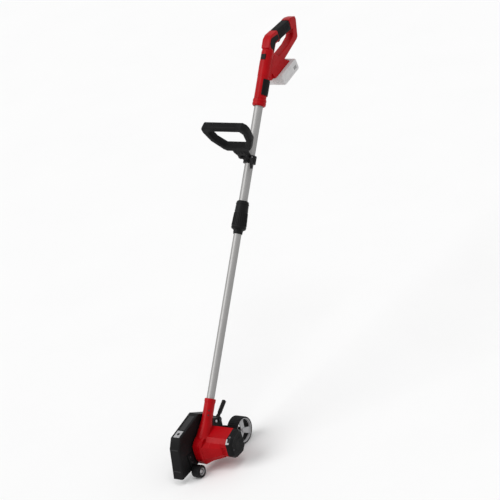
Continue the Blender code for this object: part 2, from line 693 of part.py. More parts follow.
combine(blade, cylinder("blade_hole", bore(SPINDLE_RADIUS, 24), blade_left - 0.001, blade_right + 0.001,
                        spindle_axis, sides=24))
nut = cylinder("blade_nut", 0.0095, blade_left - GAP - NUT_HEIGHT, blade_left - GAP, spindle_axis, STEEL, sides=6)
combine(nut, cylinder("nut_hole", bore(SPINDLE_RADIUS, 24), blade_left - NUT_HEIGHT - 0.002, blade_left,
                      spindle_axis, sides=24))

# Front roller on its bracket

ROLLER_LEFT = -ROLLER_WIDTH / 2
ROLLER_RIGHT = ROLLER_WIDTH / 2
ROLLER_EDGE = 0.002
recess_floor = ROLLER_RIGHT - ROLLER_RECESS
turned("front_roller", [
    (ROLLER_RADIUS - ROLLER_EDGE, ROLLER_RIGHT), (ROLLER_RADIUS, ROLLER_RIGHT - ROLLER_EDGE),
    (ROLLER_RADIUS, ROLLER_LEFT + ROLLER_EDGE), (ROLLER_RADIUS - ROLLER_EDGE, ROLLER_LEFT),
    (bore(ROLLER_BOLT_RADIUS, 32), ROLLER_LEFT), (bore(ROLLER_BOLT_RADIUS, 32), recess_floor),
    (ROLLER_RADIUS * 0.6, recess_floor), (ROLLER_RADIUS * 0.6, ROLLER_RIGHT),
], roller_axis, BLACK)
bracket_right = ROLLER_LEFT - GAP
bracket_left = guard_face + GAP
SPINDLE_FROM_ROLLER = (SPINDLE_Y, SPINDLE_Z - ROLLER_RADIUS)
bracket_outline = arc((0.0, 0.0), 0.011, 150.0, 385.0, 8) + [(0.014, 0.026), (0.010, 0.060), (-0.014, 0.062)]
bracket = prism("roller_bracket", [bracket_outline], bracket_left, bracket_right, roller_axis, BLACK)
combine(bracket, cylinder("roller_bracket_hole", bore(ROLLER_BOLT_RADIUS, 24), bracket_left - 0.001,
                          bracket_right + 0.001, roller_axis, sides=24))
screw("roller_bolt", 0.0070, 0.0035, ROLLER_BOLT_RADIUS, recess_floor - bracket_left + GAP, roller_axis,
      (recess_floor + GAP, 0.0, 0.0))
BRACKET_SCREW_SHANK = 0.0018
for number, (across, up) in enumerate(((-0.001, 0.032), (-0.003, 0.052))):
    hole = cylinder(f"bracket_screw_hole_{number}", bore(BRACKET_SCREW_SHANK, 12), guard_inner - 0.001,
                    bracket_right + 0.001, roller_axis, at=(across, up), sides=12)
    combine(bracket, hole)
    combine(guard, hole)
    screw(f"bracket_screw_{number + 1}", 0.0036, 0.0022, BRACKET_SCREW_SHANK,
          bracket_right - guard_inner + GAP, roller_axis, (bracket_right + GAP, across, up))

# Depth adjuster: a bracket behind the head, a swinging arm with its lever, and the wheel

ARM_LEFT = TUBE_X
ARM_RIGHT = ARM_LEFT + ARM_THICKNESS
CHEEK = 0.0075
BRACKET_LEFT = ARM_LEFT - RUN - CHEEK
BRACKET_RIGHT = ARM_RIGHT + RUN + CHEEK
LUG_RADIUS = 0.012
PIVOT_RADIUS = 0.0035
ARM_HUB_RADIUS = 0.0105
STOP_RADIUS = 0.003
stop_place = (-0.0195, 0.0085)
depth_outline = arc((0.0, 0.0), LUG_RADIUS, -40.0, 80.0, 8) + [
    (-0.018, 0.019), (-0.036, 0.030), (-0.060, 0.005), (-0.060, -0.020), (-0.040, -0.036), (-0.016, -0.035),
    (0.008, -0.026),
]
depth_bracket = prism("depth_bracket", [depth_outline], BRACKET_LEFT, BRACKET_RIGHT, depth_axis, BLACK)
combine(depth_bracket, prism("drum_clearance", [inset(drum_corners, -GAP * 2)], BRACKET_LEFT - 0.001,
                             BRACKET_RIGHT + 0.001, spindle_axis))
combine(depth_bracket, cylinder("neck_clearance", NECK_RADIUS + GAP * 2, 0.0, NECK_TOP, tube_frame, along="Z",
                                sides=32))
combine(depth_bracket, cylinder("flare_clearance", FLARE_RADIUS + GAP * 2, FLARE_START, FLARE_END, tube_frame,
                                along="Z", sides=32, top=NECK_RADIUS + GAP * 2))
barrel_clearance = inset(barrel_corners, -GAP * 2)
combine(depth_bracket, prism("barrel_clearance", [barrel_clearance], 0.0, BARREL_END, motor_axis))
slot_outline = arc((0.0, 0.0), 0.016, 110.0, 250.0, 8) + [(-0.002, -0.050), (0.030, -0.052), (0.030, 0.050)]
combine(depth_bracket, prism("arm_slot", [slot_outline], ARM_LEFT - RUN, ARM_RIGHT + RUN, depth_axis))
for name, radius, place_at in (("pivot_hole", PIVOT_RADIUS, (0.0, 0.0)), ("stop_hole", STOP_RADIUS, stop_place)):
    combine(depth_bracket, cylinder(name, bore(radius, 20), BRACKET_LEFT - 0.001, BRACKET_RIGHT + 0.001, depth_axis,
                                    at=place_at, sides=20))
screw("depth_pivot_bolt", 0.0065, 0.004, PIVOT_RADIUS, BRACKET_RIGHT - BRACKET_LEFT + 0.003, depth_axis,
      (BRACKET_RIGHT + GAP, 0.0, 0.0))
screw("depth_stop_bolt", 0.0050, 0.0035, STOP_RADIUS, BRACKET_RIGHT - BRACKET_LEFT + 0.002, depth_axis,
      (BRACKET_RIGHT + GAP, *stop_place))

axle_place = (WHEEL_Y - PIVOT_Y, WHEEL_RADIUS - PIVOT_Z)
axle_angle = math.degrees(math.atan2(axle_place[1], axle_place[0]))
lever_degrees = math.degrees(LEVER_ANGLE)
LEVER_HALF = 0.0042
lever_foot = 0.022
lever_side = (-math.sin(LEVER_ANGLE), math.cos(LEVER_ANGLE))
lever_line = (math.cos(LEVER_ANGLE), math.sin(LEVER_ANGLE))
lever_stub = [
    (lever_line[0] * lever_foot + lever_side[0] * s * LEVER_HALF,
     lever_line[1] * lever_foot + lever_side[1] * s * LEVER_HALF) for s in (-1.0, 1.0)
]
arm_outline = arc(axle_place, ARM_HUB_RADIUS, axle_angle - 85.0, axle_angle + 85.0, 8)
arm_outline += arc((0.0, 0.0), ARM_HUB_RADIUS * 1.3, (axle_angle + lever_degrees) / 2 - 10.0,
                   (axle_angle + lever_degrees) / 2 + 10.0, 2)
arm_outline += lever_stub
arm_outline += arc((0.0, 0.0), ARM_HUB_RADIUS, lever_degrees + 70.0, axle_angle + 275.0, 8)
swing_arm = prism("swing_arm", [arm_outline], ARM_LEFT, ARM_RIGHT, depth_axis, BLACK)
combine(swing_arm, cylinder("arm_pivot_hole", bore(PIVOT_RADIUS, 20), ARM_LEFT - 0.001, ARM_RIGHT + 0.001,
                            depth_axis, sides=20))
combine(swing_arm, cylinder("arm_axle_hole", bore(AXLE_RADIUS, 20), ARM_LEFT - 0.001, ARM_RIGHT + 0.001,
                            depth_axis, at=axle_place, sides=20))
lever_frame = frame("lever_frame", (0.0, 0.0, 0.0), LEVER_ANGLE, depth_axis)
lever_centre = (ARM_LEFT + ARM_RIGHT) / 2
LEVER_GRIP_HALF_X = 0.0048
LEVER_GRIP_HALF = 0.0052
lever = block("depth_lever", (lever_centre - LEVER_GRIP_HALF_X, lever_foot + GAP, -LEVER_GRIP_HALF),
              (lever_centre + LEVER_GRIP_HALF_X, LEVER_LENGTH, LEVER_GRIP_HALF), lever_frame, BLACK)
soften(lever, 0.0022, 2)

WHEEL_OUTER_X = WHEEL_INNER_X + WHEEL_WIDTH
HUB_RADIUS = WHEEL_RADIUS - TYRE_THICKNESS - GAP
HUB_RIM = 0.0035
HUB_BOSS = 0.010
WEB_THICKNESS = 0.004
TYRE_EDGE = 0.003
WEB_LEFT = WHEEL_OUTER_X - 0.008
turned("wheel_tyre", [
    (WHEEL_RADIUS - TYRE_EDGE * 0.5, WHEEL_OUTER_X), (WHEEL_RADIUS, WHEEL_OUTER_X - TYRE_EDGE),
    (WHEEL_RADIUS, WHEEL_INNER_X + TYRE_EDGE), (WHEEL_RADIUS - TYRE_EDGE * 0.5, WHEEL_INNER_X),
    (bore(HUB_RADIUS, 48), WHEEL_INNER_X), (bore(HUB_RADIUS, 48), WHEEL_OUTER_X),
], wheel_axis, RUBBER, sides=48)
hub_bore = bore(AXLE_RADIUS, 48)
wheel_hub = turned("wheel_hub", [
    (HUB_RADIUS, WHEEL_OUTER_X - 0.001), (HUB_RADIUS, WHEEL_INNER_X + 0.001),
    (HUB_RADIUS - HUB_RIM, WHEEL_INNER_X + 0.001), (HUB_RADIUS - HUB_RIM, WEB_LEFT),
    (HUB_BOSS, WEB_LEFT), (HUB_BOSS, WHEEL_INNER_X - 0.001), (hub_bore, WHEEL_INNER_X - 0.001),
    (hub_bore, WEB_LEFT + WEB_THICKNESS), (HUB_RADIUS - HUB_RIM, WEB_LEFT + WEB_THICKNESS),
    (HUB_RADIUS - HUB_RIM, WHEEL_OUTER_X - 0.001),
], wheel_axis, GREY, sides=48)
HUB_OPENINGS = 3
OPENING_INNER = 0.0145
OPENING_OUTER = HUB_RADIUS - HUB_RIM - 0.002
OPENING_SPAN = 68.0
for number in range(HUB_OPENINGS):
    middle = 30.0 + 360.0 * number / HUB_OPENINGS
    window = arc((0.0, 0.0), OPENING_OUTER, middle - OPENING_SPAN / 2, middle + OPENING_SPAN / 2, 6)
    window += arc((0.0, 0.0), OPENING_INNER, middle + OPENING_SPAN / 3, middle - OPENING_SPAN / 3, 3)
    combine(wheel_hub, prism(f"hub_opening_{number}", [window], WEB_LEFT - 0.001, WHEEL_OUTER_X, wheel_axis))
AXLE_HEAD = 0.003
screw("wheel_axle", 0.0072, AXLE_HEAD, AXLE_RADIUS, WEB_LEFT + WEB_THICKNESS + 0.002 - ARM_LEFT, wheel_axis,
      (ARM_LEFT - GAP, 0.0, 0.0), (0.0, -math.pi / 2, 0.0))
CAP_REACH = WEB_LEFT + WEB_THICKNESS
wheel_cap = turned("wheel_cap", [
    (0.0, CAP_REACH + 0.0035), (0.0065, CAP_REACH + 0.0035), (0.0085, CAP_REACH + 0.002),
    (0.0085, CAP_REACH + GAP), (bore(AXLE_RADIUS, 24), CAP_REACH + GAP),
    (bore(AXLE_RADIUS, 24), CAP_REACH + 0.0025), (0.0, CAP_REACH + 0.0025),
], wheel_axis, GREY, sides=24)

# Tubes and the locking sleeve

UPPER_TUBE_INNER = bore(LOWER_TUBE_RADIUS, 32)
UPPER_TUBE_RADIUS = UPPER_TUBE_INNER + UPPER_TUBE_WALL
lower_tube = turned("lower_tube", [
    (LOWER_TUBE_RADIUS, LOWER_TUBE_END), (LOWER_TUBE_RADIUS, LOWER_TUBE_START),
    (LOWER_TUBE_RADIUS - LOWER_TUBE_WALL, LOWER_TUBE_START), (LOWER_TUBE_RADIUS - LOWER_TUBE_WALL, LOWER_TUBE_END),
], tube_frame, TUBE, along="Z")
for hole in tube_screw_holes:
    combine(lower_tube, hole)
for number, station in enumerate(TUBE_SCREW_STATIONS):
    seat = NECK_RADIUS + GAP
    screw(f"tube_screw_{number + 1}", 0.0026, 0.0014, TUBE_SCREW_SHANK, TUBE_SCREW_REACH, tube_frame,
          (screw_side[0] * seat, screw_side[1] * seat, station), screw_turn)

turned("upper_tube", [
    (UPPER_TUBE_RADIUS, UPPER_TUBE_END), (UPPER_TUBE_RADIUS, UPPER_TUBE_START),
    (UPPER_TUBE_INNER, UPPER_TUBE_START), (UPPER_TUBE_INNER, UPPER_TUBE_END),
], tube_frame, TUBE, along="Z")

SLEEVE_END = SLEEVE_START + SLEEVE_LENGTH
THROAT = bore(LOWER_TUBE_RADIUS, 24)
SLEEVE_BORE = bore(UPPER_TUBE_RADIUS, 24)
COLLET_SEAT = SLEEVE_START + 0.010
collet_end = UPPER_TUBE_START - GAP
turned("locking_sleeve", [
    (SLEEVE_BORE + 0.002, SLEEVE_END), (SLEEVE_TOP_RADIUS - 0.001, SLEEVE_END - 0.003),
    (SLEEVE_TOP_RADIUS, SLEEVE_END - 0.008), (SLEEVE_TOP_RADIUS + 0.001, SLEEVE_START + 0.070),
    (SLEEVE_FOOT_RADIUS - 0.001, SLEEVE_START + 0.026), (SLEEVE_FOOT_RADIUS, SLEEVE_START + 0.021),
    (SLEEVE_FOOT_RADIUS - 0.002, SLEEVE_START + 0.016), (NOZZLE_RADIUS, SLEEVE_START + 0.012),
    (NOZZLE_RADIUS - 0.001, SLEEVE_START), (THROAT, SLEEVE_START), (THROAT, COLLET_SEAT - 0.001),
    (SLEEVE_BORE + 0.002, COLLET_SEAT + 0.002), (SLEEVE_BORE + 0.002, collet_end), (SLEEVE_BORE, collet_end + 0.001),
    (SLEEVE_BORE, SLEEVE_END),
], tube_frame, BLACK, along="Z", sides=24)
collet = turned("tube_collet", [
    (SLEEVE_BORE + 0.0014, collet_end), (SLEEVE_BORE + 0.0014, COLLET_SEAT + 0.003),
    (THROAT + 0.0008, COLLET_SEAT), (THROAT, COLLET_SEAT), (THROAT, collet_end),
], tube_frame, BLACK, along="Z", sides=24)
combine(collet, block("collet_split", (-0.0010, 0.0, COLLET_SEAT - 0.001), (0.0010, 0.030, UPPER_TUBE_START),
                      tube_frame))

# Auxiliary handle: a clamp round the upper tube, with a closed loop that tilts on its bolt

clamp_inner = bore(UPPER_TUBE_RADIUS, 24)
CLAMP_END = CLAMP_START + CLAMP_LENGTH
PIVOT_STATION = CLAMP_END - 0.010
LUG_ROUND = 0.0085
aux_clamp = cylinder("aux_clamp", clamp_inner + CLAMP_WALL, CLAMP_START, CLAMP_END, tube_frame, BLACK, along="Z")
aux_pivot = (-AUX_PIVOT_AHEAD, PIVOT_STATION)
lug_outline = arc(aux_pivot, LUG_ROUND, 90.0, 270.0, 8) + [
    (-clamp_inner - 0.002, CLAMP_START + 0.003), (-clamp_inner - 0.002, PIVOT_STATION + LUG_ROUND),
]
combine(aux_clamp, prism("clamp_lug", [lug_outline], -LUG_HALF_WIDTH, LUG_HALF_WIDTH, tube_frame), "UNION")
combine(aux_clamp, cylinder("clamp_bore", clamp_inner, CLAMP_START - 0.001, CLAMP_END + 0.001, tube_frame, along="Z"))
combine(aux_clamp, cylinder("clamp_bolt_hole", bore(AUX_BOLT_RADIUS, 20), -LUG_HALF_WIDTH - 0.001,
                            LUG_HALF_WIDTH + 0.001, tube_frame, at=aux_pivot, sides=20))

aux_frame = frame("aux_frame", (0.0, *aux_pivot), AUX_TILT, tube_frame)
STEM_HALF_WIDTH = 0.020
STEM_ROUND = 0.0075
SLOT_HALF_WIDTH = LUG_HALF_WIDTH + RUN
half = AUX_HALF_WIDTH
loop_outer = [
    (half * 0.85, AUX_REACH), (-half * 0.85, AUX_REACH), (-half * 0.97, AUX_REACH - 0.011), (-half, AUX_REACH - 0.028),
    (-half * 0.91, 0.095), (-half * 0.60, AUX_FOOT + 0.008), (-half * 0.48, AUX_FOOT), (half * 0.48, AUX_FOOT),
    (half * 0.60, AUX_FOOT + 0.008), (half * 0.91, 0.095), (half, AUX_REACH - 0.028),
    (half * 0.97, AUX_REACH - 0.011),
]
half = AUX_HALF_WIDTH - AUX_BAR
loop_inner = [
    (half * 0.90, AUX_REACH - AUX_BAR), (-half * 0.90, AUX_REACH - AUX_BAR), (-half, AUX_REACH - AUX_BAR - 0.012),
    (-half * 0.90, 0.098), (-half * 0.58, AUX_FOOT + AUX_BAR + 0.002), (half * 0.58, AUX_FOOT + AUX_BAR + 0.002),
    (half * 0.90, 0.098), (half, AUX_REACH - AUX_BAR - 0.012),
]
aux_handle = prism("aux_handle", [loop_outer, loop_inner], -AUX_BAND / 2, AUX_BAND / 2, aux_frame, RUBBER, along="Y")
soften_rim(aux_handle, 0.006, 2, both=True)
stem_outline = arc((0.0, 0.0), STEM_ROUND, 180.0, 360.0, 8) + [
    (STEM_ROUND, 0.018), (AUX_BAND / 2 - 0.001, 0.036), (AUX_BAND / 2 - 0.001, AUX_FOOT + 0.010),
    (-AUX_BAND / 2 + 0.001, AUX_FOOT + 0.010), (-AUX_BAND / 2 + 0.001, 0.036), (-STEM_ROUND, 0.018),
]
combine(aux_handle, prism("aux_stem", [stem_outline], -STEM_HALF_WIDTH, STEM_HALF_WIDTH, aux_frame), "UNION")
combine(aux_handle, block("stem_slot", (-SLOT_HALF_WIDTH, -0.030, -0.030), (SLOT_HALF_WIDTH, 0.030, 0.0145), aux_frame))
combine(aux_handle, cylinder("stem_bolt_hole", bore(AUX_BOLT_RADIUS, 20), -STEM_HALF_WIDTH - 0.001,
                             STEM_HALF_WIDTH + 0.001, aux_frame, sides=20))
LEVER_HUB_START = STEM_HALF_WIDTH + GAP
LEVER_HUB_END = LEVER_HUB_START + 0.007
screw("aux_bolt", 0.0068, 0.0055, AUX_BOLT_RADIUS, LEVER_HUB_END + STEM_HALF_WIDTH - 0.001, aux_frame,
      (-STEM_HALF_WIDTH - GAP, 0.0, 0.0), (0.0, -math.pi / 2, 0.0))
AUX_LEVER_ROUND = 0.007
aux_lever = cylinder("aux_lever", AUX_LEVER_ROUND, LEVER_HUB_START, LEVER_HUB_END, tube_frame, BLACK, at=aux_pivot)
lever_path = [
    (-AUX_PIVOT_AHEAD - 0.0055, PIVOT_STATION), (-AUX_PIVOT_AHEAD - 0.0035, PIVOT_STATION - 0.016),
    (-AUX_PIVOT_AHEAD + 0.0020, PIVOT_STATION - 0.030), (-AUX_PIVOT_AHEAD + 0.0060, PIVOT_STATION - 0.037),
    (-AUX_PIVOT_AHEAD + 0.0130, PIVOT_STATION - 0.035), (-AUX_PIVOT_AHEAD + 0.0095, PIVOT_STATION - 0.024),
    (-AUX_PIVOT_AHEAD + 0.0060, PIVOT_STATION - 0.012), (-AUX_PIVOT_AHEAD + 0.0055, PIVOT_STATION),
]
combine(aux_lever, prism("aux_lever_arm", [lever_path], LEVER_HUB_START + 0.0012, LEVER_HUB_END, tube_frame), "UNION")
combine(aux_lever, cylinder("aux_lever_hole", bore(AUX_BOLT_RADIUS, 20), LEVER_HUB_START - 0.001,
                            LEVER_HUB_END + 0.001, tube_frame, at=aux_pivot, sides=20))

# Handle: two shells with a barrel over the tube, a closed grip and a base for the battery

SPIGOT_RADIUS = 0.0175
SPIGOT_START = COLLAR_START + 0.001
HANDLE_START = COLLAR_START + COLLAR_LENGTH + GAP
BARREL_STRAIGHT_END = HANDLE_START + 0.159
BARREL_TOP = HANDLE_START + 0.172
handle_outline = [
    (0.0000, 1.2060), (0.0150, 1.2050), (0.0391, 1.2158), (0.1021, 1.2943), (0.0830, 1.3018), (0.1315, 1.3820),
    (0.1345, 1.3935), (0.1090, 1.4440), (0.0990, 1.4520), (0.0780, 1.4408), (-0.0120, 1.3538), (-0.0200, 1.3368),
    (-0.0200, 1.3080), (0.0030, 1.2940),
]
hand_opening = [
    (0.0165, 1.2995), (0.0450, 1.2988), (0.0880, 1.3520), (0.1050, 1.3830), (0.1055, 1.3960), (0.0975, 1.4088),
    (0.0175, 1.3320),
]
base_frame = frame("base_frame", (0.0, 0.0355, 1.2197), TUBE_LEAN + BATTERY_SLOPE, tube_frame)
grip_frame = frame("grip_frame", (0.0, 0.0340, 1.3483), TUBE_LEAN + GRIP_SLOPE, tube_frame)
GRIP_FOOT = 0.002
GRIP_TOP = GRIP_FOOT + GRIP_LENGTH
CORE_HALF_WIDTH = LOOP_HALF_WIDTH - GRIP_SKIN
CHANNEL_FRONT = 0.020
NECK_HALF_WIDTH = 0.012
HEAD_HALF_WIDTH = 0.015
RAIL_LIP = 0.004
RAIL_HEIGHT = 0.011
BOARD_BAY = HANDLE_RADIUS - HANDLE_WALL
SLOT_FRONT = 0.0004
SLOT_REAR = 0.0315
TRIGGER_HALF_WIDTH = 0.0065
PIN_RADIUS = 0.0015
PIN_HALF_LENGTH = 0.011
pin_place = (0.028, 0.0055)
SWITCH_BOTTOM = 0.014
SWITCH_TOP = 0.0295
SWITCH_HALF_WIDTH = 0.0092
LOCK_STATION = 1.2778
LOCK_HALF_LENGTH = 0.0087
LOCK_HALF_WIDTH = 0.0080
LOCK_TRAVEL = 0.0025

barrel_bore = cylinder("handle_tube_bore", bore(UPPER_TUBE_RADIUS, 32), SPIGOT_START - 0.001, UPPER_TUBE_END + GAP,
                       tube_frame, along="Z", sides=32)
board_bay = cylinder("board_bay", BOARD_BAY, UPPER_TUBE_END + 0.004, LOCK_STATION + 0.017, tube_frame, along="Z",
                     sides=32)
cable_hole = cylinder("cable_hole", 0.006, UPPER_TUBE_END - 0.001, UPPER_TUBE_END + 0.005, tube_frame, along="Z",
                      sides=16)
wire_path = [(-0.0100, 1.2890), (0.0020, 1.2890), (0.0115, 1.3360), (0.0195, 1.3540), (0.0085, 1.3640), (-0.0010, 1.3400)]
wire_way = prism("wire_way", [wire_path], -0.006, 0.006, tube_frame)
power_way = cylinder("power_way", 0.003, 0.010, 0.046, tube_frame, at=(0.0, 1.2402), along="Y", sides=12)
switch_bay = block("switch_bay", (-SWITCH_HALF_WIDTH - RUN, -0.008, SWITCH_BOTTOM),
                   (SWITCH_HALF_WIDTH + RUN, 0.026, SWITCH_TOP), grip_frame)
trigger_slot = block("trigger_slot", (-TRIGGER_HALF_WIDTH - 0.0005, SLOT_FRONT, -0.002),
                     (TRIGGER_HALF_WIDTH + 0.0005, SLOT_REAR, SWITCH_BOTTOM + 0.001), grip_frame)
pin_hole = cylinder("pin_hole", bore(PIN_RADIUS, 12), -PIN_HALF_LENGTH - RUN, PIN_HALF_LENGTH + RUN, grip_frame,
                    at=pin_place, sides=12)
lock_window = block("lock_window", (-LOCK_HALF_WIDTH - RUN, -0.026, LOCK_STATION - LOCK_HALF_LENGTH - RUN),
                    (LOCK_HALF_WIDTH + RUN, -0.010, LOCK_STATION + LOCK_HALF_LENGTH + RUN), tube_frame)
skin_space = block("skin_space", (-0.030, GRIP_FOOT - GAP, -0.002), (0.030, GRIP_TOP + GAP, GRIP_HEIGHT + 0.003),
                   grip_frame)
combine(skin_space, block("grip_core", (-CORE_HALF_WIDTH, GRIP_FOOT - 0.002, GRIP_SKIN),
                          (CORE_HALF_WIDTH, GRIP_TOP + 0.002, GRIP_HEIGHT - GRIP_SKIN), grip_frame))


def rail_section(neck, head, foot, lip, top):
    """The T shaped section of the battery rail, in (x, z); the underside of its head slopes a little."""
    edge = lip + (head - neck) * 0.15
    return [(-neck, foot), (neck, foot), (neck, lip), (head, edge), (head, top), (-head, top), (-head, edge),
            (-neck, lip)]


rail_channel = prism("rail_channel", [rail_section(NECK_HALF_WIDTH + RUN, HEAD_HALF_WIDTH + RUN, -0.002, RAIL_LIP,
                                                   RAIL_HEIGHT + RUN)], CHANNEL_FRONT, 0.120, base_frame, along="Y")
base_plane = block("base_plane", (-0.060, -0.060, -0.060), (0.060, 0.160, 0.0), base_frame)
FOOT_LENGTH = 0.0985
FOOT_HEIGHT = 0.025
foot_section = [
    (-BASE_HALF_WIDTH, -0.003), (BASE_HALF_WIDTH, -0.003), (BASE_HALF_WIDTH, 0.002), (LOOP_HALF_WIDTH - 0.0005, FOOT_HEIGHT),
    (-LOOP_HALF_WIDTH + 0.0005, FOOT_HEIGHT), (-BASE_HALF_WIDTH, 0.002),
]
foot_slope = prism("foot_slope", [[(0.072, FOOT_HEIGHT + 0.003), (FOOT_LENGTH + 0.001, 0.003), (0.110, 0.003), (0.110, 0.040),
                                   (0.072, 0.040)]], -0.030, 0.030, base_frame)


def handle_solid(side):
    """The handle's outer form with its hollows cut, one copy for each half."""
    shell = turned("handle_" + side, [
        (0.0, BARREL_TOP), (0.0150, BARREL_TOP), (HANDLE_RADIUS, BARREL_STRAIGHT_END), (HANDLE_RADIUS, HANDLE_START),
        (SPIGOT_RADIUS, HANDLE_START), (SPIGOT_RADIUS, SPIGOT_START), (0.0, SPIGOT_START),
    ], tube_frame, RED, along="Z", sides=32)
    loop = prism("loop_" + side, [handle_outline, hand_opening], -LOOP_HALF_WIDTH, LOOP_HALF_WIDTH, tube_frame)
    soften_rim(loop, 0.0032, 2, both=True)
    combine(shell, loop, "UNION")
    foot = prism("foot_" + side, [foot_section], 0.0, FOOT_LENGTH, base_frame, along="Y")
    combine(foot, foot_slope)
    combine(shell, foot, "UNION")
    for hollow in (base_plane, barrel_bore, board_bay, cable_hole, wire_way, power_way, switch_bay, trigger_slot,
                   pin_hole, lock_window, skin_space, rail_channel):
        combine(shell, hollow)
    return shell


shell_cut_left = block("shell_cut_left", (-GAP / 2, -0.3, 1.0), (0.3, 0.3, 1.6), tube_frame)
shell_cut_right = block("shell_cut_right", (-0.3, -0.3, 1.0), (GAP / 2, 0.3, 1.6), tube_frame)
shell_left = handle_solid("left")
shell_left.name = "handle_shell_left"
combine(shell_left, shell_cut_left)
shell_right = handle_solid("right")
shell_right.name = "handle_shell_right"
combine(shell_right, shell_cut_right)

turned("handle_collar", [
    (COLLAR_RADIUS - 0.0015, COLLAR_START + COLLAR_LENGTH), (COLLAR_RADIUS, COLLAR_START + COLLAR_LENGTH - 0.002),
    (COLLAR_RADIUS, COLLAR_START + 0.003), (COLLAR_RADIUS - 0.003, COLLAR_START),
    (bore(SPIGOT_RADIUS, 32), COLLAR_START), (bore(SPIGOT_RADIUS, 32), COLLAR_START + COLLAR_LENGTH),
], tube_frame, RED, along="Z")
PLAQUE_INNER = HANDLE_RADIUS + GAP
PLAQUE_OUTER = PLAQUE_INNER + 0.0026
plaque_outline = arc((0.0, 0.0), PLAQUE_OUTER, -52.0, 42.0, 10) + arc((0.0, 0.0), PLAQUE_INNER, 44.0, -54.0, 10)
prism("handle_plaque", [plaque_outline], HANDLE_START + 0.0105, HANDLE_START + 0.0635, tube_frame, BLACK, along="Z")
block("control_board", (-BOARD_BAY + 0.0008, -0.001, HANDLE_START + 0.0185),
      (BOARD_BAY - 0.0008, 0.001, HANDLE_START + 0.0985), tube_frame, BOARD)

# Grip cover, trigger, switch and lock button

grip_cover = block("grip_cover", (-LOOP_HALF_WIDTH, GRIP_FOOT, 0.0), (LOOP_HALF_WIDTH, GRIP_TOP, GRIP_HEIGHT),
                   grip_frame, RUBBER)
soften(grip_cover, 0.005, 2, 50.0)
core_space = block("core_space", (-CORE_HALF_WIDTH - GAP, GRIP_FOOT - 0.010, GRIP_SKIN - GAP),
                   (CORE_HALF_WIDTH + GAP, GRIP_TOP + 0.010, GRIP_HEIGHT - GRIP_SKIN + GAP), grip_frame)
combine(grip_cover, core_space)
combine(grip_cover, trigger_slot)
trigger_outline = [
    (0.0022, 0.0070), (0.0022, -0.0040), (0.0065, -0.0090), (0.0140, -0.0070), (0.0240, -0.0030), (0.0300, 0.0003),
    (0.0298, 0.0083),
]
trigger = prism("trigger", [trigger_outline], -TRIGGER_HALF_WIDTH, TRIGGER_HALF_WIDTH, grip_frame, BLACK)
combine(trigger, cylinder("trigger_hole", bore(PIN_RADIUS, 12), -TRIGGER_HALF_WIDTH - 0.001,
                          TRIGGER_HALF_WIDTH + 0.001, grip_frame, at=pin_place, sides=12))
cylinder("trigger_pin", PIN_RADIUS, -PIN_HALF_LENGTH, PIN_HALF_LENGTH, grip_frame, STEEL, at=pin_place, sides=12)
block("switch_body", (-SWITCH_HALF_WIDTH, -0.0077, SWITCH_BOTTOM + 0.0013),
      (SWITCH_HALF_WIDTH, 0.020, SWITCH_TOP - GAP), grip_frame, BLACK)
LOCK_FLANGE = 0.0132
lock_button = block("lock_button", (-LOCK_HALF_WIDTH, -HANDLE_RADIUS - 0.002, LOCK_STATION - LOCK_HALF_LENGTH),
                    (LOCK_HALF_WIDTH, -LOCK_FLANGE + 0.001, LOCK_STATION + LOCK_HALF_LENGTH), tube_frame, BLACK)
combine(lock_button, block("lock_flange", (-LOCK_HALF_WIDTH - 0.0013, -LOCK_FLANGE,
                                           LOCK_STATION - LOCK_HALF_LENGTH - 0.002),
                           (LOCK_HALF_WIDTH + 0.0013, -LOCK_FLANGE + 0.002,
                            LOCK_STATION + LOCK_HALF_LENGTH + 0.002), tube_frame), "UNION")

# Battery pack on its rail

PACK_TOP = -GAP
TOWER_FRONT = 0.036
TOWER_REAR = 0.091
BATTERY_REAR = BATTERY_SETBACK + BATTERY_LENGTH
battery = block("battery_pack", (-BATTERY_WIDTH / 2, BATTERY_SETBACK, PACK_TOP - BATTERY_HEIGHT),
                (BATTERY_WIDTH / 2, BATTERY_REAR, PACK_TOP), base_frame, PALE)
soften(battery, 0.006, 2)
combine(battery, prism("tower", [rail_section(NECK_HALF_WIDTH, HEAD_HALF_WIDTH, PACK_TOP - 0.002, RAIL_LIP + RUN,
                                             RAIL_HEIGHT)], TOWER_FRONT, TOWER_REAR, base_frame, along="Y"), "UNION")
BUTTON_HALF_WIDTH = 0.011
BUTTON_LOW = PACK_TOP - 0.020
BUTTON_HIGH = PACK_TOP - 0.009
BUTTON_FRONT = BATTERY_REAR - 0.009
BUTTON_TRAVEL = 0.0025
combine(battery, block("button_recess", (-BUTTON_HALF_WIDTH - RUN, BUTTON_FRONT - BUTTON_TRAVEL - RUN, BUTTON_LOW - RUN),
                       (BUTTON_HALF_WIDTH + RUN, BATTERY_REAR + 0.001, BUTTON_HIGH + RUN), base_frame))
block("battery_button", (-BUTTON_HALF_WIDTH, BUTTON_FRONT, BUTTON_LOW),
      (BUTTON_HALF_WIDTH, BATTERY_REAR + 0.002, BUTTON_HIGH), base_frame, RED)
block("terminal_block", (-0.010, CHANNEL_FRONT + GAP, 0.0006), (0.010, TOWER_FRONT - 0.0015, RAIL_HEIGHT - 0.0004),
      base_frame, BLACK)

# Stands on the ground, centred on its own footprint

bpy.context.view_layer.update()
graph = bpy.context.evaluated_depsgraph_get()
low = [math.inf] * 3
high = [-math.inf] * 3
for thing in parts.objects:
    if thing.type != "MESH":
        continue
    seen = thing.evaluated_get(graph)
    for vert in seen.data.vertices:
        spot = seen.matrix_world @ vert.co
        for axis in range(3):
            low[axis] = min(low[axis], spot[axis])
            high[axis] = max(high[axis], spot[axis])
root.location = (-(low[0] + high[0]) / 2, -(low[1] + high[1]) / 2, -low[2])
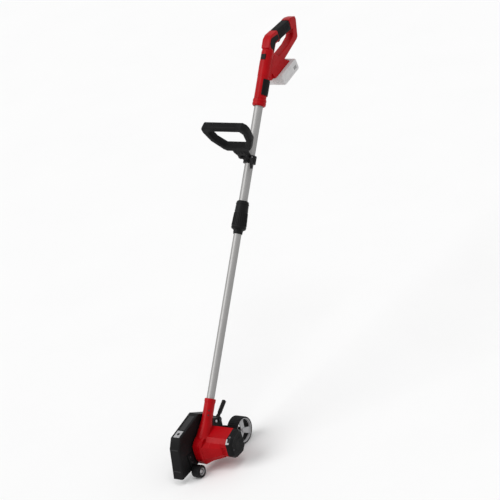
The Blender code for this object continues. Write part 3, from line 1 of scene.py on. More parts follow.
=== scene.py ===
"""The looks of the cordless lawn edger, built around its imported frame, in metres.

Forward is -Y, the handle is at +Y and the motor at +X, as in the part's source.
"""

import json
import math

import bmesh
import bpy
from mathutils import Matrix, Vector


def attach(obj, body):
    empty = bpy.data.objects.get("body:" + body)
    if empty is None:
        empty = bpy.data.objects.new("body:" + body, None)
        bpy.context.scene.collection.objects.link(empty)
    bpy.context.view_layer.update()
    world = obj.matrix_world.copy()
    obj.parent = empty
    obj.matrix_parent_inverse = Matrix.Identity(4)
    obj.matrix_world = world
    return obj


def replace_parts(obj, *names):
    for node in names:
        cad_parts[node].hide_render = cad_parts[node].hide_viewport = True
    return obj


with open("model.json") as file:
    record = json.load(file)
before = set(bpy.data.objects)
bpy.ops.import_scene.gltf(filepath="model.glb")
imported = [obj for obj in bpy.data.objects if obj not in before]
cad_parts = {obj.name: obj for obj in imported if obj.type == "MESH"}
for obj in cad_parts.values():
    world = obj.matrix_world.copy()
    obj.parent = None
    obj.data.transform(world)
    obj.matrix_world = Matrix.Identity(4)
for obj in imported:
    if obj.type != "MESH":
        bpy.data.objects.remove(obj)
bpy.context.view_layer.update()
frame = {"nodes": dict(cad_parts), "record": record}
scene = bpy.context.scene

# Camera at the photograph's viewing angle

CAMERA_PLACE = Vector((3.67918, -4.59592, 3.24259))
CAMERA_RIGHT = Vector((0.82194918, 0.52142459, -0.22916356))
CAMERA_UP = Vector((-0.05426324, 0.47221171, 0.87981339))
CAMERA_BACK = Vector((0.56697005, -0.71072674, 0.41642822))

SENSOR_WIDTH = 36.0
FOCAL_LENGTH = 144.0
FAR_LIMIT = 60.0

lens = bpy.data.cameras.new("camera")
lens.sensor_width = SENSOR_WIDTH
lens.lens = FOCAL_LENGTH
lens.clip_end = FAR_LIMIT
camera = bpy.data.objects.new("camera", lens)
scene.collection.objects.link(camera)
columns = Matrix((CAMERA_RIGHT, CAMERA_UP, CAMERA_BACK)).transposed()
camera.matrix_world = Matrix.Translation(CAMERA_PLACE) @ columns.to_4x4()
scene.camera = camera
scene.view_settings.view_transform = "Standard"

# Frames of the machine, in the row frame

SPINDLE = Matrix.Translation((-0.0145, -0.43498, 0.07000))
MOTOR = Matrix.Translation((-0.0145, -0.41778, 0.07876))
ROLLER = Matrix.Translation((-0.0145, -0.50198, 0.02050))
DEPTH = Matrix.Translation((-0.0145, -0.35398, 0.12000))
WHEEL = Matrix.Translation((-0.0145, -0.28998, 0.04500))


def tilted(place, degrees):
    return Matrix.Translation(place) @ Matrix.Rotation(math.radians(degrees), 4, "X")


TUBE_LEAN = -40.1
BATTERY_TURN = 51.1
GRIP_TURN = 43.9
AUX_TURN = 67.0
TUBE = tilted((-0.0155, -0.44951, 0.08224), TUBE_LEAN)
BASE = TUBE @ tilted((0.0, 0.0355, 1.2197), BATTERY_TURN)
GRIP = TUBE @ tilted((0.0, 0.0340, 1.3483), GRIP_TURN)
AUX = TUBE @ tilted((0.0, -0.0270, 0.9390), AUX_TURN)

# Materials


class Shader:
    """A small helper that adds nodes to a material and links them."""

    def __init__(self, name):
        self.material = bpy.data.materials.new(name)
        self.material.use_nodes = True
        self.tree = self.material.node_tree
        self.surface = self.tree.nodes["Principled BSDF"]

    def node(self, kind, settings=None, **inputs):
        """Adds a node. An input is given by its name, or as n and its number where names repeat."""
        made = self.tree.nodes.new(kind)
        for key, value in (settings or {}).items():
            setattr(made, key, value)
        for key, value in inputs.items():
            by_number = key.startswith("n")
            socket = made.inputs[int(key[1:])] if by_number else made.inputs[key.replace("_", " ")]
            if isinstance(value, bpy.types.NodeSocket):
                self.tree.links.new(value, socket)
            else:
                socket.default_value = value
        return made

    def link(self, output, name):
        self.tree.links.new(output, self.surface.inputs[name])

    def set(self, **values):
        for key, value in values.items():
            self.surface.inputs[key.replace("_", " ")].default_value = value

    def place(self, scale=(1.0, 1.0, 1.0), turn=(0.0, 0.0, 0.0)):
        where = self.node("ShaderNodeTexCoord")
        mapped = self.node("ShaderNodeMapping", Vector=where.outputs["Object"])
        mapped.inputs["Scale"].default_value = scale
        mapped.inputs["Rotation"].default_value = turn
        return mapped.outputs["Vector"]

    def noise(self, scale, detail=3.0, roughness=0.5, vector=None):
        vector = vector or self.place()
        made = self.node("ShaderNodeTexNoise", Vector=vector, Scale=scale, Detail=detail, Roughness=roughness)
        return made.outputs["Fac"]

    def remap(self, value, low, high, source=(0.3, 0.7)):
        made = self.node("ShaderNodeMapRange", Value=value)
        made.inputs["From Min"].default_value = source[0]
        made.inputs["From Max"].default_value = source[1]
        made.inputs["To Min"].default_value = low
        made.inputs["To Max"].default_value = high
        return made.outputs["Result"]

    def blend(self, factor, first, second):
        made = self.node("ShaderNodeMix", {"data_type": "RGBA"}, n0=factor)
        for index, colour in ((6, first), (7, second)):
            if isinstance(colour, bpy.types.NodeSocket):
                self.tree.links.new(colour, made.inputs[index])
            else:
                made.inputs[index].default_value = (*colour, 1.0)
        return made.outputs[2]

    def edges(self, radius, low=0.02, high=0.20):
        """1 along worn edges and 0 on flat faces, from the shader's own bevel of the surface."""
        round_off = self.node("ShaderNodeBevel", {"samples": 4}, Radius=radius)
        plain = self.node("ShaderNodeNewGeometry")
        match = self.node("ShaderNodeVectorMath", {"operation": "DOT_PRODUCT"},
                          n0=round_off.outputs["Normal"], n1=plain.outputs["Normal"])
        return self.remap(match.outputs["Value"], 1.0, 0.0, (1.0 - high, 1.0 - low))

    def bump(self, height, strength, distance):
        made = self.node("ShaderNodeBump", Height=height, Strength=strength, Distance=distance)
        self.link(made.outputs["Normal"], "Normal")
        return made


TONE_SCALE = 26.0
SCRATCH_SCALE = 160.0
SCRATCH_RANGE = (0.45, 0.75)
SHEEN_SCALE = 60.0
WORN_EDGE = 0.0009
WORN_GAIN = 1.5
WORN_LIFT = 0.05
GRAIN_STRENGTH = 0.35
STREAK_SCALE = 900.0
STREAK_DARKER = 0.82
STREAK_STRENGTH = 0.25
STAIN_SCALE = 22.0
STAIN_RANGE = (0.5, 0.8)
STAIN_SHARE = 0.35
STAIN_DARKER = 0.7


def plastic(name, colour, roughness, specular, grain=1400.0, grain_depth=0.00006, wear=0.35, variety=0.10):
    """Moulded plastic: fine grain, slow changes of tone and sheen, and lighter worn edges."""
    made = Shader(name)
    slow = made.noise(TONE_SCALE, 4.0, 0.6)
    fine = made.noise(grain, 2.0, 0.6)
    dark = tuple(c * (1.0 - variety) for c in colour)
    light = tuple(min(1.0, c * (1.0 + variety) + 0.002) for c in colour)
    tone = made.blend(made.remap(slow, 0.0, 1.0), dark, light)
    worn = tuple(min(1.0, c * WORN_GAIN + WORN_LIFT) for c in colour)
    scratch = made.remap(made.noise(SCRATCH_SCALE, 4.0, 0.65), 0.0, 1.0, SCRATCH_RANGE)
    edge = made.node("ShaderNodeMath", {"operation": "MULTIPLY"}, n0=made.edges(WORN_EDGE), n1=scratch)
    share = made.node("ShaderNodeMath", {"operation": "MULTIPLY"}, n0=edge.outputs[0], n1=wear)
    made.link(made.blend(share.outputs[0], tone, worn), "Base Color")
    sheen = made.noise(SHEEN_SCALE, 5.0, 0.65)
    made.link(made.remap(sheen, roughness - 0.06, roughness + 0.08), "Roughness")
    made.bump(fine, GRAIN_STRENGTH, grain_depth)
    made.set(Specular_IOR_Level=specular)
    return made.material


def metal(name, colour, roughness, stretch=(1.0, 1.0, 1.0), turn=(0.0, 0.0, 0.0), metallic=1.0, tint=None,
          depth=0.00002):
    """Drawn or turned metal: streaks along one direction, slow stains and small changes of sheen."""
    made = Shader(name)
    along = made.place(stretch, turn)
    streak = made.noise(STREAK_SCALE, 3.0, 0.6, along)
    stain = made.noise(STAIN_SCALE, 4.0, 0.6)
    dark = tuple(c * STREAK_DARKER for c in colour)
    stain_colour = tuple(c * STAIN_DARKER for c in colour)
    mixed = made.blend(made.remap(streak, 0.0, 1.0), dark, colour)
    stained = made.blend(made.remap(stain, 0.0, STAIN_SHARE, STAIN_RANGE), mixed, stain_colour)
    made.link(stained, "Base Color")
    made.link(made.remap(streak, roughness - 0.05, roughness + 0.09), "Roughness")
    made.bump(streak, STREAK_STRENGTH, depth)
    made.set(Metallic=metallic)
    if tint is not None:
        made.set(Specular_Tint=(*tint, 1.0))
    return made.material


RED = plastic("red_moulded", (0.37, 0.0, 0.003), 0.36, 0.11)
BLACK = plastic("black_moulded", (0.0042, 0.0042, 0.0046), 0.48, 0.12, grain=900.0, grain_depth=0.00012)
SOFT = plastic("black_soft_grip", (0.0045, 0.0045, 0.005), 0.62, 0.11, grain=700.0, grain_depth=0.0002,
               wear=0.15)
CHARCOAL = plastic("charcoal_textured", (0.030, 0.030, 0.031), 0.60, 0.20, grain=500.0, grain_depth=0.0002)
TYRE = plastic("tyre_rubber", (0.008, 0.008, 0.0085), 0.66, 0.14, grain=500.0, grain_depth=0.0002, wear=0.25)
HUB = plastic("grey_hub_plastic", (0.40, 0.40, 0.41), 0.38, 0.35, wear=0.2)
PALE = plastic("pale_battery_plastic", (0.62, 0.61, 0.61), 0.42, 0.3, wear=0.2, variety=0.05)
ALONG_TUBE = (math.radians(90.0 + TUBE_LEAN), 0.0, 0.0)
ALUMINIUM = metal("tube_aluminium", (0.36, 0.355, 0.35), 0.40, (1.0, 0.03, 1.0), ALONG_TUBE, metallic=0.45,
                  tint=(0.05, 0.05, 0.05))
STEEL = metal("plated_steel", (0.46, 0.46, 0.47), 0.28)
DARK_STEEL = metal("blade_steel", (0.16, 0.16, 0.17), 0.38, (0.08, 1.0, 1.0))
DARK_SCREW = metal("blackened_screw", (0.045, 0.045, 0.048), 0.42)
BRASS = metal("bearing_brass", (0.70, 0.52, 0.24), 0.30)
BOARD = plastic("board_green", (0.02, 0.15, 0.06), 0.45, 0.3, wear=0.0)

FINISHES = {
    "red_plastic": RED, "black_plastic": BLACK, "soft_black": SOFT, "tyre_black": TYRE, "grey_hub": HUB,
    "pale_battery": PALE, "tube_grey": ALUMINIUM, "steel": STEEL, "dark_steel": DARK_STEEL, "brass": BRASS,
    "circuit_board": BOARD,
}
slot_of = {entry["node"]: entry["material_slot"] for entry in frame["record"]["subparts"]}

# Every carried-over node: flat faces joined, edges rounded, its own material

EDGE_ROUND = {
    "blade_guard": 0.0012, "head_housing_left": 0.0012, "head_housing_right": 0.0012, "motor_end_cap": 0.0008,
    "handle_shell_left": 0.0010, "handle_shell_right": 0.0010, "aux_handle": 0.0012, "depth_bracket": 0.0008,
}
THIN_ROUND = 0.0003
FINE_ROUND = 0.0004
FULL_ROUND = 0.0005
ROUND_STEPS = 3
SHARP_ANGLE = 30.0
SAME_POINT = 0.000005
FLAT_ANGLE = 0.6


def dress(node, finish, width):
    """Gives a node its material, joins its flat faces and rounds its edges, all by modifiers."""
    body = frame["nodes"][node]
    body.data.materials.clear()
    body.data.materials.append(finish)
    body.data.shade_smooth()
    weld = body.modifiers.new("weld", "WELD")
    weld.merge_threshold = SAME_POINT
    flat = body.modifiers.new("flat", "DECIMATE")
    flat.decimate_type = "DISSOLVE"
    flat.angle_limit = math.radians(FLAT_ANGLE)
    rounding = body.modifiers.new("round", "BEVEL")
    rounding.width = width
    rounding.segments = ROUND_STEPS
    rounding.limit_method = "ANGLE"
    rounding.angle_limit = math.radians(SHARP_ANGLE)
    rounding.use_clamp_overlap = True
    rounding.harden_normals = True
    weighted = body.modifiers.new("normals", "WEIGHTED_NORMAL")
    weighted.keep_sharp = True


BLACKENED = {
    "tube_screw_1", "tube_screw_2", "bracket_screw_1", "bracket_screw_2", "end_cap_screw_1",
    "end_cap_screw_2", "depth_pivot_bolt",
}

for node in frame["nodes"]:
    finish = DARK_SCREW if node in BLACKENED else FINISHES[slot_of[node]]
    dress(node, finish, EDGE_ROUND.get(node, FINE_ROUND))

# Detail pieces: helpers

FULL_TURN = 360.0


def show(name, mesh, finish, body, place, rounding=0.0, angle=SHARP_ANGLE):
    """Puts a mesh in the row frame with its finish, rounds its edges and lets it ride on a body."""
    mesh.materials.append(finish)
    mesh.shade_smooth()
    made = bpy.data.objects.new(name, mesh)
    scene.collection.objects.link(made)
    made.matrix_world = place
    if rounding > 0.0:
        edges = made.modifiers.new("round", "BEVEL")
        edges.width = rounding
        edges.segments = ROUND_STEPS
        edges.limit_method = "ANGLE"
        edges.angle_limit = math.radians(angle)
        edges.harden_normals = True
    made.modifiers.new("normals", "WEIGHTED_NORMAL").keep_sharp = True
    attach(made, body)
    return made


def finished(name, work):
    """The mesh of a finished piece of work, with its faces turned outwards."""
    bmesh.ops.recalc_face_normals(work, faces=work.faces)
    mesh = bpy.data.meshes.new(name)
    work.to_mesh(mesh)
    work.free()
    return mesh


def axes(along, low_or_high, point):
    """A point of a flat outline lifted to a station on the axis it is drawn across, X or Z."""
    if along == "X":
        return (low_or_high, point[0], point[1])
    return (point[0], point[1], low_or_high)


def extrude(work, outline, low, high, along):
    """Adds a flat outline between two stations of one axis."""
    ends = [[work.verts.new(axes(along, level, point)) for point in outline] for level in (low, high)]
    for end in ends:
        work.faces.new(end)
    for index in range(len(outline)):
        after = (index + 1) % len(outline)
        work.faces.new((ends[0][index], ends[0][after], ends[1][after], ends[1][index]))


def wrap(work, rings, closed=True):
    """Adds faces from each ring of points to the next, and from the last to the first where closed."""
    count = len(rings)
    for step in range(count if closed else count - 1):
        first, second = rings[step], rings[(step + 1) % count]
        for index in range(len(first)):
            after = (index + 1) % len(first)
            work.faces.new((first[index], second[index], second[after], first[after]))


def turn(work, profile, steps, along, start=0.0, end=FULL_TURN):
    """Adds a closed profile of (radius, station) points turned about one axis, between two angles."""
    closed = end - start >= FULL_TURN
    rings = []
    for step in range(steps if closed else steps + 1):
        angle = math.radians(start + (end - start) * step / steps)
        side, rise = math.cos(angle), math.sin(angle)
        rings.append([work.verts.new(axes(along, station, (radius * side, radius * rise)))
                      for radius, station in profile])
    wrap(work, rings, closed)
    if not closed:
        work.faces.new(rings[0])
        work.faces.new(rings[-1])


def slab(name, outline, low, high, along="X"):
    """A flat outline between two stations of one axis, as a mesh of its own."""
    work = bmesh.new()
    extrude(work, outline, low, high, along)
    return finished(name, work)


def band(name, outer, inner, low, high, along="X"):
    """A closed strip between two outlines with as many corners, between two stations of one axis."""
    work = bmesh.new()
    loops = [[work.verts.new(axes(along, level, point)) for point in outline]
             for outline, level in ((outer, low), (outer, high), (inner, high), (inner, low))]
    for first in range(4):
        second = (first + 1) % 4
        for index in range(len(outer)):
            after = (index + 1) % len(outer)
            work.faces.new((loops[first][index], loops[first][after],
                            loops[second][after], loops[second][index]))
    return finished(name, work)


def bars(name, boxes):
    """Several boxes, each from a low to a high corner, in one mesh."""
    work = bmesh.new()
    for low, high in boxes:
        made = bmesh.ops.create_cube(work, size=1.0)["verts"]
        for vert in made:
            vert.co = [start + (share + 0.5) * (end - start) for start, share, end in zip(low, vert.co, high)]
    return finished(name, work)


def lathe(name, profile, steps=64, along="Z", start=0.0, end=FULL_TURN):
    """A turned profile, all round or between two angles, as a mesh of its own."""
    work = bmesh.new()
    turn(work, profile, steps, along, start, end)
    return finished(name, work)


def hoop(name, radius, low, high, sunk, raised, ease):
    """A ring round the tube's axis, with its outer edges eased off and its back sunk into the skin."""
    profile = [(radius - sunk, low), (radius + raised, low + ease), (radius + raised, high - ease),
               (radius - sunk, high)]
    return lathe(name, profile)


def shell(name, radius, low, high, sunk, raised, steps, start, end):
    """A thin plate bent round the tube's axis between two angles, partly sunk into the skin."""
    profile = [(radius - sunk, low), (radius + raised, low), (radius + raised, high), (radius - sunk, high)]
    return lathe(name, profile, steps, "Z", start, end)


def inset(corners, distance):
    """An outline moved inwards by a distance; corners run anticlockwise."""
    moved = []
    for index, corner in enumerate(corners):
        here = Vector(corner)
        before = (here - Vector(corners[index - 1])).normalized()
        after = (Vector(corners[(index + 1) % len(corners)]) - here).normalized()
        normals = Vector((-before.y, before.x)), Vector((-after.y, after.x))
        reach = distance / (1.0 + normals[0].dot(normals[1]))
        moved.append(tuple(here + (normals[0] + normals[1]) * reach))
    return moved


def rounded(corners, radius, steps=5):
    """An outline with each corner replaced by a short curve; corners run anticlockwise."""
    curve = []
    for index, corner in enumerate(corners):
        here = Vector(corner)
        before = Vector(corners[index - 1]) - here
        after = Vector(corners[(index + 1) % len(corners)]) - here
        reach = min(radius, before.length * 0.45, after.length * 0.45)
        start = here + before.normalized() * reach
        end = here + after.normalized() * reach
        for step in range(steps + 1):
            share = step / steps
            rest = 1 - share
            curve.append(tuple(start * rest ** 2 + here * 2 * share * rest + end * share ** 2))
    return curve


def arc(centre, radius, start, end, steps):
    """Points of a circle between two angles in degrees."""
    points = []
    for step in range(steps + 1):
        angle = math.radians(start + (end - start) * step / steps)
        points.append((centre[0] + radius * math.cos(angle), centre[1] + radius * math.sin(angle)))
    return points


def slope(low_point, high_point):
    """The angle in degrees of a line in the plane."""
    return math.degrees(math.atan2(high_point.y - low_point.y, high_point.x - low_point.x))


# Guard: a raised line round its face, a ribbed pad on its upper edge and two moulded steps in front

GUARD_FACE = -0.0183
GUARD_DEPTH = 0.036
GUARD_CORNERS = [
    (-0.129, -0.046), (0.036, -0.040), (0.098, -0.004), (0.098, 0.064), (0.028, 0.104), (-0.089, 0.083),
    (-0.109, 0.054), (-0.119, 0.003),
]
BORDER_INSET = 0.0068
BORDER_WIDTH = 0.0018
BORDER_CORNER = 0.008
BORDER_SUNK = 0.0005
BORDER_RAISED = 0.0007
border_outer = rounded(inset(GUARD_CORNERS, BORDER_INSET), BORDER_CORNER)
border_inner = rounded(inset(GUARD_CORNERS, BORDER_INSET + BORDER_WIDTH), BORDER_CORNER)
border = band("guard_border", border_outer, border_inner, GUARD_FACE - BORDER_SUNK,
              GUARD_FACE + BORDER_RAISED)
show("guard_border", border, BLACK, "machine", SPINDLE, FINE_ROUND)

brow, crown = Vector(GUARD_CORNERS[5]), Vector(GUARD_CORNERS[4])
GUARD_TOP = SPINDLE @ tilted((0.0, brow.x, brow.y), slope(brow, crown))
PAD_PLACE = 0.46
PAD_MIDDLE = GUARD_FACE - GUARD_DEPTH * PAD_PLACE
PAD_HALF_WIDTH = 0.0095
PAD_START = 0.038
PAD_END = 0.104
PAD_SUNK = 0.0004
PAD_RAISED = 0.0007
PAD_LEFT = PAD_MIDDLE - PAD_HALF_WIDTH
PAD_RIGHT = PAD_MIDDLE + PAD_HALF_WIDTH
pad_outline = rounded([(PAD_LEFT, PAD_START), (PAD_RIGHT, PAD_START),
                       (PAD_RIGHT, PAD_END), (PAD_LEFT, PAD_END)], 0.003)
pad = slab("guard_pad", pad_outline, -PAD_SUNK, PAD_RAISED, "Z")
show("guard_pad", pad, CHARCOAL, "machine", GUARD_TOP, THIN_ROUND)
PAD_RIBS = 11
PAD_RIB_MARGIN = 0.004
PAD_RIB_HALF = 0.0008
PAD_RIB_SHORTER = 0.002
PAD_RIB_LOW = 0.0005
PAD_RIB_HIGH = 0.0011
pad_rib_pitch = (PAD_END - PAD_START - 2 * PAD_RIB_MARGIN) / (PAD_RIBS - 1)
pad_ribs = []
for number in range(PAD_RIBS):
    middle = PAD_START + PAD_RIB_MARGIN + number * pad_rib_pitch
    pad_ribs.append(((PAD_LEFT + PAD_RIB_SHORTER, middle - PAD_RIB_HALF, PAD_RIB_LOW),
                     (PAD_RIGHT - PAD_RIB_SHORTER, middle + PAD_RIB_HALF, PAD_RIB_HIGH)))
show("guard_pad_ribs", bars("guard_pad_ribs", pad_ribs), CHARCOAL, "machine", GUARD_TOP, THIN_ROUND)

STEP_LOW = (GUARD_FACE - 0.030, -0.0012, -0.0006)
STEP_HIGH = (GUARD_FACE - 0.005, 0.0012, 0.0006)
for name, low_corner, high_corner, share in (("guard_step_high", 7, 6, 0.93), ("guard_step_low", 0, 7, 0.52)):
    low_point, high_point = Vector(GUARD_CORNERS[low_corner]), Vector(GUARD_CORNERS[high_corner])
    spot = low_point.lerp(high_point, share)
    place = SPINDLE @ tilted((0.0, spot.x, spot.y), slope(low_point, high_point))
    show(name, bars(name, [(STEP_LOW, STEP_HIGH)]), CHARCOAL, "machine", place, FINE_ROUND)

# Neck: a thicker ring at its mouth

NECK_RADIUS = 0.0172
NECK_TOP = 0.151
neck_profile = [
    (NECK_RADIUS - 0.0006, NECK_TOP - 0.0120), (NECK_RADIUS + 0.0003, NECK_TOP - 0.0115),
    (NECK_RADIUS + 0.0009, NECK_TOP - 0.0100), (NECK_RADIUS + 0.0011, NECK_TOP - 0.0020),
    (NECK_RADIUS + 0.0006, NECK_TOP - 0.0004), (NECK_RADIUS - 0.0006, NECK_TOP - 0.0004),
]
show("neck_ring", lathe("neck_ring", neck_profile), RED, "machine", TUBE, THIN_ROUND)

# Fairing: the barrel's front and underside run into the drum's rim without a step

FAIRING_STATIONS = (
    (0.0155, ((-0.0170, 0.0352), (-0.0238, 0.0354), (-0.0374, 0.0224), (-0.0606, 0.0150), (-0.0622, -0.0262),
              (-0.0525, -0.0480), (-0.0455, -0.0525), (0.0020, -0.0525), (0.0195, -0.0430),
              (0.0300, -0.0205))),
    (0.0360, ((-0.0185, 0.0350), (-0.0232, 0.0350), (-0.0366, 0.0218), (-0.0513, 0.0105), (-0.0525, -0.0244),
              (-0.0415, -0.0415), (-0.0340, -0.0440), (0.0060, -0.0440), (0.0215, -0.0390),
              (0.0330, -0.0210))),
    (0.0720, ((-0.0200, 0.0348), (-0.0222, 0.0343), (-0.0354, 0.0212), (-0.0354, 0.0032), (-0.0354, -0.0212),
              (-0.0235, -0.0365), (-0.0220, -0.0372), (0.0080, -0.0372), (0.0242, -0.0348),
              (0.0374, -0.0212))),
)
FAIRING_WALL = 0.0014
FAIRING_SHARP = 9.0
work = bmesh.new()
sheets = []
for wall in (0.0, FAIRING_WALL):
    sheet = []
    for station, chain in FAIRING_STATIONS:
        row = []
        for across, up in chain:
            shrink = 1.0 - wall / math.hypot(across, up)
            row.append(work.verts.new((station, across * shrink, up * shrink)))
        sheet.append(row)
    sheets.append(sheet)
outer, inner = sheets
last = len(FAIRING_STATIONS) - 1
width = len(outer[0]) - 1
for sheet in sheets:
    for low, high in zip(sheet, sheet[1:]):
        for index in range(width):
            work.faces.new((low[index], low[index + 1], high[index + 1], high[index]))
for level in range(last):
    for edge in (0, -1):
        work.faces.new((outer[level][edge], outer[level + 1][edge],
                        inner[level + 1][edge], inner[level][edge]))
for index in range(width):
    for level in (0, last):
        near, far = outer[level], inner[level]
        work.faces.new((near[index], near[index + 1], far[index + 1], far[index]))
show("barrel_fairing", finished("barrel_fairing", work), RED, "machine", MOTOR, FINE_ROUND, FAIRING_SHARP)

# End cap: a pale corner piece, a dark screw, grip ribs on its top and front, and rings on its face

BARREL_END = 0.094
CAP_END = BARREL_END + 0.0213
CAP_FACE = [
    (-0.0350, -0.0210), (-0.0220, -0.0340), (0.0240, -0.0340), (0.0370, -0.0210), (0.0370, 0.0330),
    (0.0240, 0.0460), (-0.0220, 0.0340), (-0.0350, 0.0210),
]
chamfer_low, chamfer_high = Vector(CAP_FACE[7]), Vector(CAP_FACE[6])
CHAMFER_OUT = Vector((-0.7071, 0.7071))  # outwards from the cap's bevelled upper front edge
CORNER_SUNK = -0.0004
CORNER_RAISED = 0.0010
for name, first_share, last_share, start, end in (("cap_corner", 0.0, 1.0, 0.0006, 0.0052),
                                                  ("cap_corner_leg", 0.05, 0.36, 0.0048, 0.0125)):
    first = chamfer_low.lerp(chamfer_high, first_share)
    second = chamfer_low.lerp(chamfer_high, last_share)
    outline = [tuple(first + CHAMFER_OUT * CORNER_SUNK), tuple(first + CHAMFER_OUT * CORNER_RAISED),
               tuple(second + CHAMFER_OUT * CORNER_RAISED), tuple(second + CHAMFER_OUT * CORNER_SUNK)]
    show(name, slab(name, outline, BARREL_END + start, BARREL_END + end), HUB, "machine", MOTOR, FULL_ROUND)

crown_end = Vector(CAP_FACE[5])
CAP_TOP = MOTOR @ tilted((0.0, chamfer_high.x, chamfer_high.y), slope(chamfer_high, crown_end))
cap_screw_profile = [(0.0012, -0.0004), (0.0040, -0.0004), (0.0040, 0.0006), (0.0034, 0.0010),
                     (0.0028, 0.0003), (0.0012, 0.0003)]
show("cap_top_screw", lathe("cap_top_screw", cap_screw_profile, 40), DARK_STEEL, "machine",
     CAP_TOP @ Matrix.Translation((BARREL_END + 0.0085, 0.0075, 0.0)))
CAP_RIBS = 5
CAP_RIB_END = BARREL_END + 0.0135
CAP_RIB_SUNK = 0.0004
CAP_RIB_RAISED = 0.0008
TOP_RIB_START = 0.0150
TOP_RIB_PITCH = 0.0050
TOP_RIB_WIDTH = 0.0022
FRONT_RIB_START = -0.0165
FRONT_RIB_STEP = 0.0060
FRONT_RIB_HEIGHT = 0.0025
CAP_FRONT = CAP_FACE[0][0]
top_ribs, front_ribs = [], []
for number in range(CAP_RIBS):
    start = TOP_RIB_START + number * TOP_RIB_PITCH
    top_ribs.append(((BARREL_END + 0.0045, start, -CAP_RIB_SUNK),
                     (CAP_RIB_END, start + TOP_RIB_WIDTH, CAP_RIB_RAISED)))
    start = FRONT_RIB_START + number * FRONT_RIB_STEP
    front_ribs.append(((BARREL_END + 0.0040, CAP_FRONT - CAP_RIB_RAISED, start),
                       (CAP_RIB_END, CAP_FRONT + CAP_RIB_SUNK, start + FRONT_RIB_HEIGHT)))
show("cap_ribs", bars("cap_ribs", top_ribs), BLACK, "machine", CAP_TOP, FINE_ROUND)
show("cap_front_ribs", bars("cap_front_ribs", front_ribs), BLACK, "machine", MOTOR, FINE_ROUND)
FACE_RING_WIDTH = 0.0022
FACE_RING_CORNER = 0.006
FACE_RING_SUNK = 0.0005
FACE_RING_RAISED = 0.0004
FACE_RING_DEPTHS = (0.0125, 0.0175, 0.0225)
face_low = CAP_END - FACE_RING_SUNK
face_high = CAP_END + FACE_RING_RAISED
for number, depth in enumerate(FACE_RING_DEPTHS):
    name = f"cap_face_ring_{number}"
    outer = rounded(inset(CAP_FACE, depth), FACE_RING_CORNER)
    inner = rounded(inset(CAP_FACE, depth + FACE_RING_WIDTH), FACE_RING_CORNER)
    show(name, band(name, outer, inner, face_low, face_high), BLACK, "machine", MOTOR, THIN_ROUND)

# Roller: a pale ring in its recess

ROLLER_FACE = 0.015
roller_profile = [
    (0.0122, ROLLER_FACE - 0.0055), (0.0122, ROLLER_FACE - 0.0006), (0.0112, ROLLER_FACE - 0.0003),
    (0.0104, ROLLER_FACE - 0.0010), (0.0104, ROLLER_FACE - 0.0055),
]
show("roller_ring", lathe("roller_ring", roller_profile, 48, "X"), HUB, "roller", ROLLER, 0.0002)

# Swing arm with its elbow, and the lever with ridges across its grip

LEVER_LEAN = 30.0
LEVER_FOOT = 0.0223
LEVER_TIP = 0.0710
LEVER_HALF = 0.0052
LEVER_HALF_WIDTH = 0.0048
LEVER_MIDDLE = 0.0025
LEVER = DEPTH @ tilted((0.0, 0.0, 0.0), LEVER_LEAN)
ARM_HUB = 0.0105
ARM_LEFT = -0.001
ARM_RIGHT = 0.006
AXLE = Vector((0.064, -0.075))
ELBOW = Vector((0.009, -0.034))
ELBOW_OUTER = (0.0165, -0.0310)
ELBOW_INNER = (0.0010, -0.0365)
STUB_REACH = 0.022
STUB_HALF = 0.0042
FOOT_SPREAD = 85.0
lean = math.radians(LEVER_LEAN)
lower_angle = slope(ELBOW, AXLE)
# one run round the outline: the foot at the axle, the outer elbow, the pivot's front with the lever's
# stub, the pivot's back and the inner elbow
stub = [(math.cos(lean) * STUB_REACH - math.sin(lean) * side,
         math.sin(lean) * STUB_REACH + math.cos(lean) * side) for side in (-STUB_HALF, STUB_HALF)]
arm_outline = arc(AXLE, ARM_HUB, lower_angle - FOOT_SPREAD, lower_angle + FOOT_SPREAD, 12) + [ELBOW_OUTER]
arm_outline += arc((0.0, 0.0), ARM_HUB, -12.0, LEVER_LEAN - 40.0, 1) + stub
arm_outline += arc((0.0, 0.0), ARM_HUB, LEVER_LEAN + 70.0, 200.0, 8) + [ELBOW_INNER]
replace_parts(show("arm_with_elbow", slab("arm_with_elbow", arm_outline, ARM_LEFT, ARM_RIGHT), BLACK,
                 "depth_arm", DEPTH, 0.0006), "swing_arm")
grip_outline = rounded([(LEVER_FOOT, -LEVER_HALF), (LEVER_TIP, -LEVER_HALF), (LEVER_TIP, LEVER_HALF),
                        (LEVER_FOOT, LEVER_HALF)], 0.0024)
LEVER_LEFT = LEVER_MIDDLE - LEVER_HALF_WIDTH
LEVER_RIGHT = LEVER_MIDDLE + LEVER_HALF_WIDTH
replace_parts(show("lever_grip", slab("lever_grip", grip_outline, LEVER_LEFT, LEVER_RIGHT), BLACK,
                 "depth_arm", LEVER, 0.0018), "depth_lever")
RIDGES = 10
RIDGE_START = 0.0262
RIDGE_PITCH = 0.0044
RIDGE_LENGTH = 0.0024
RIDGE_RAISED = 0.0006
ridges = []
for number in range(RIDGES):
    start = RIDGE_START + number * RIDGE_PITCH
    ridges.append(((LEVER_LEFT - RIDGE_RAISED, start, -LEVER_HALF - RIDGE_RAISED),
                   (LEVER_RIGHT + RIDGE_RAISED, start + RIDGE_LENGTH, LEVER_HALF + RIDGE_RAISED)))
show("lever_ridges", bars("lever_ridges", ridges), BLACK, "depth_arm", LEVER, 0.0009)

# Tyre with its tread, in place of the plain one

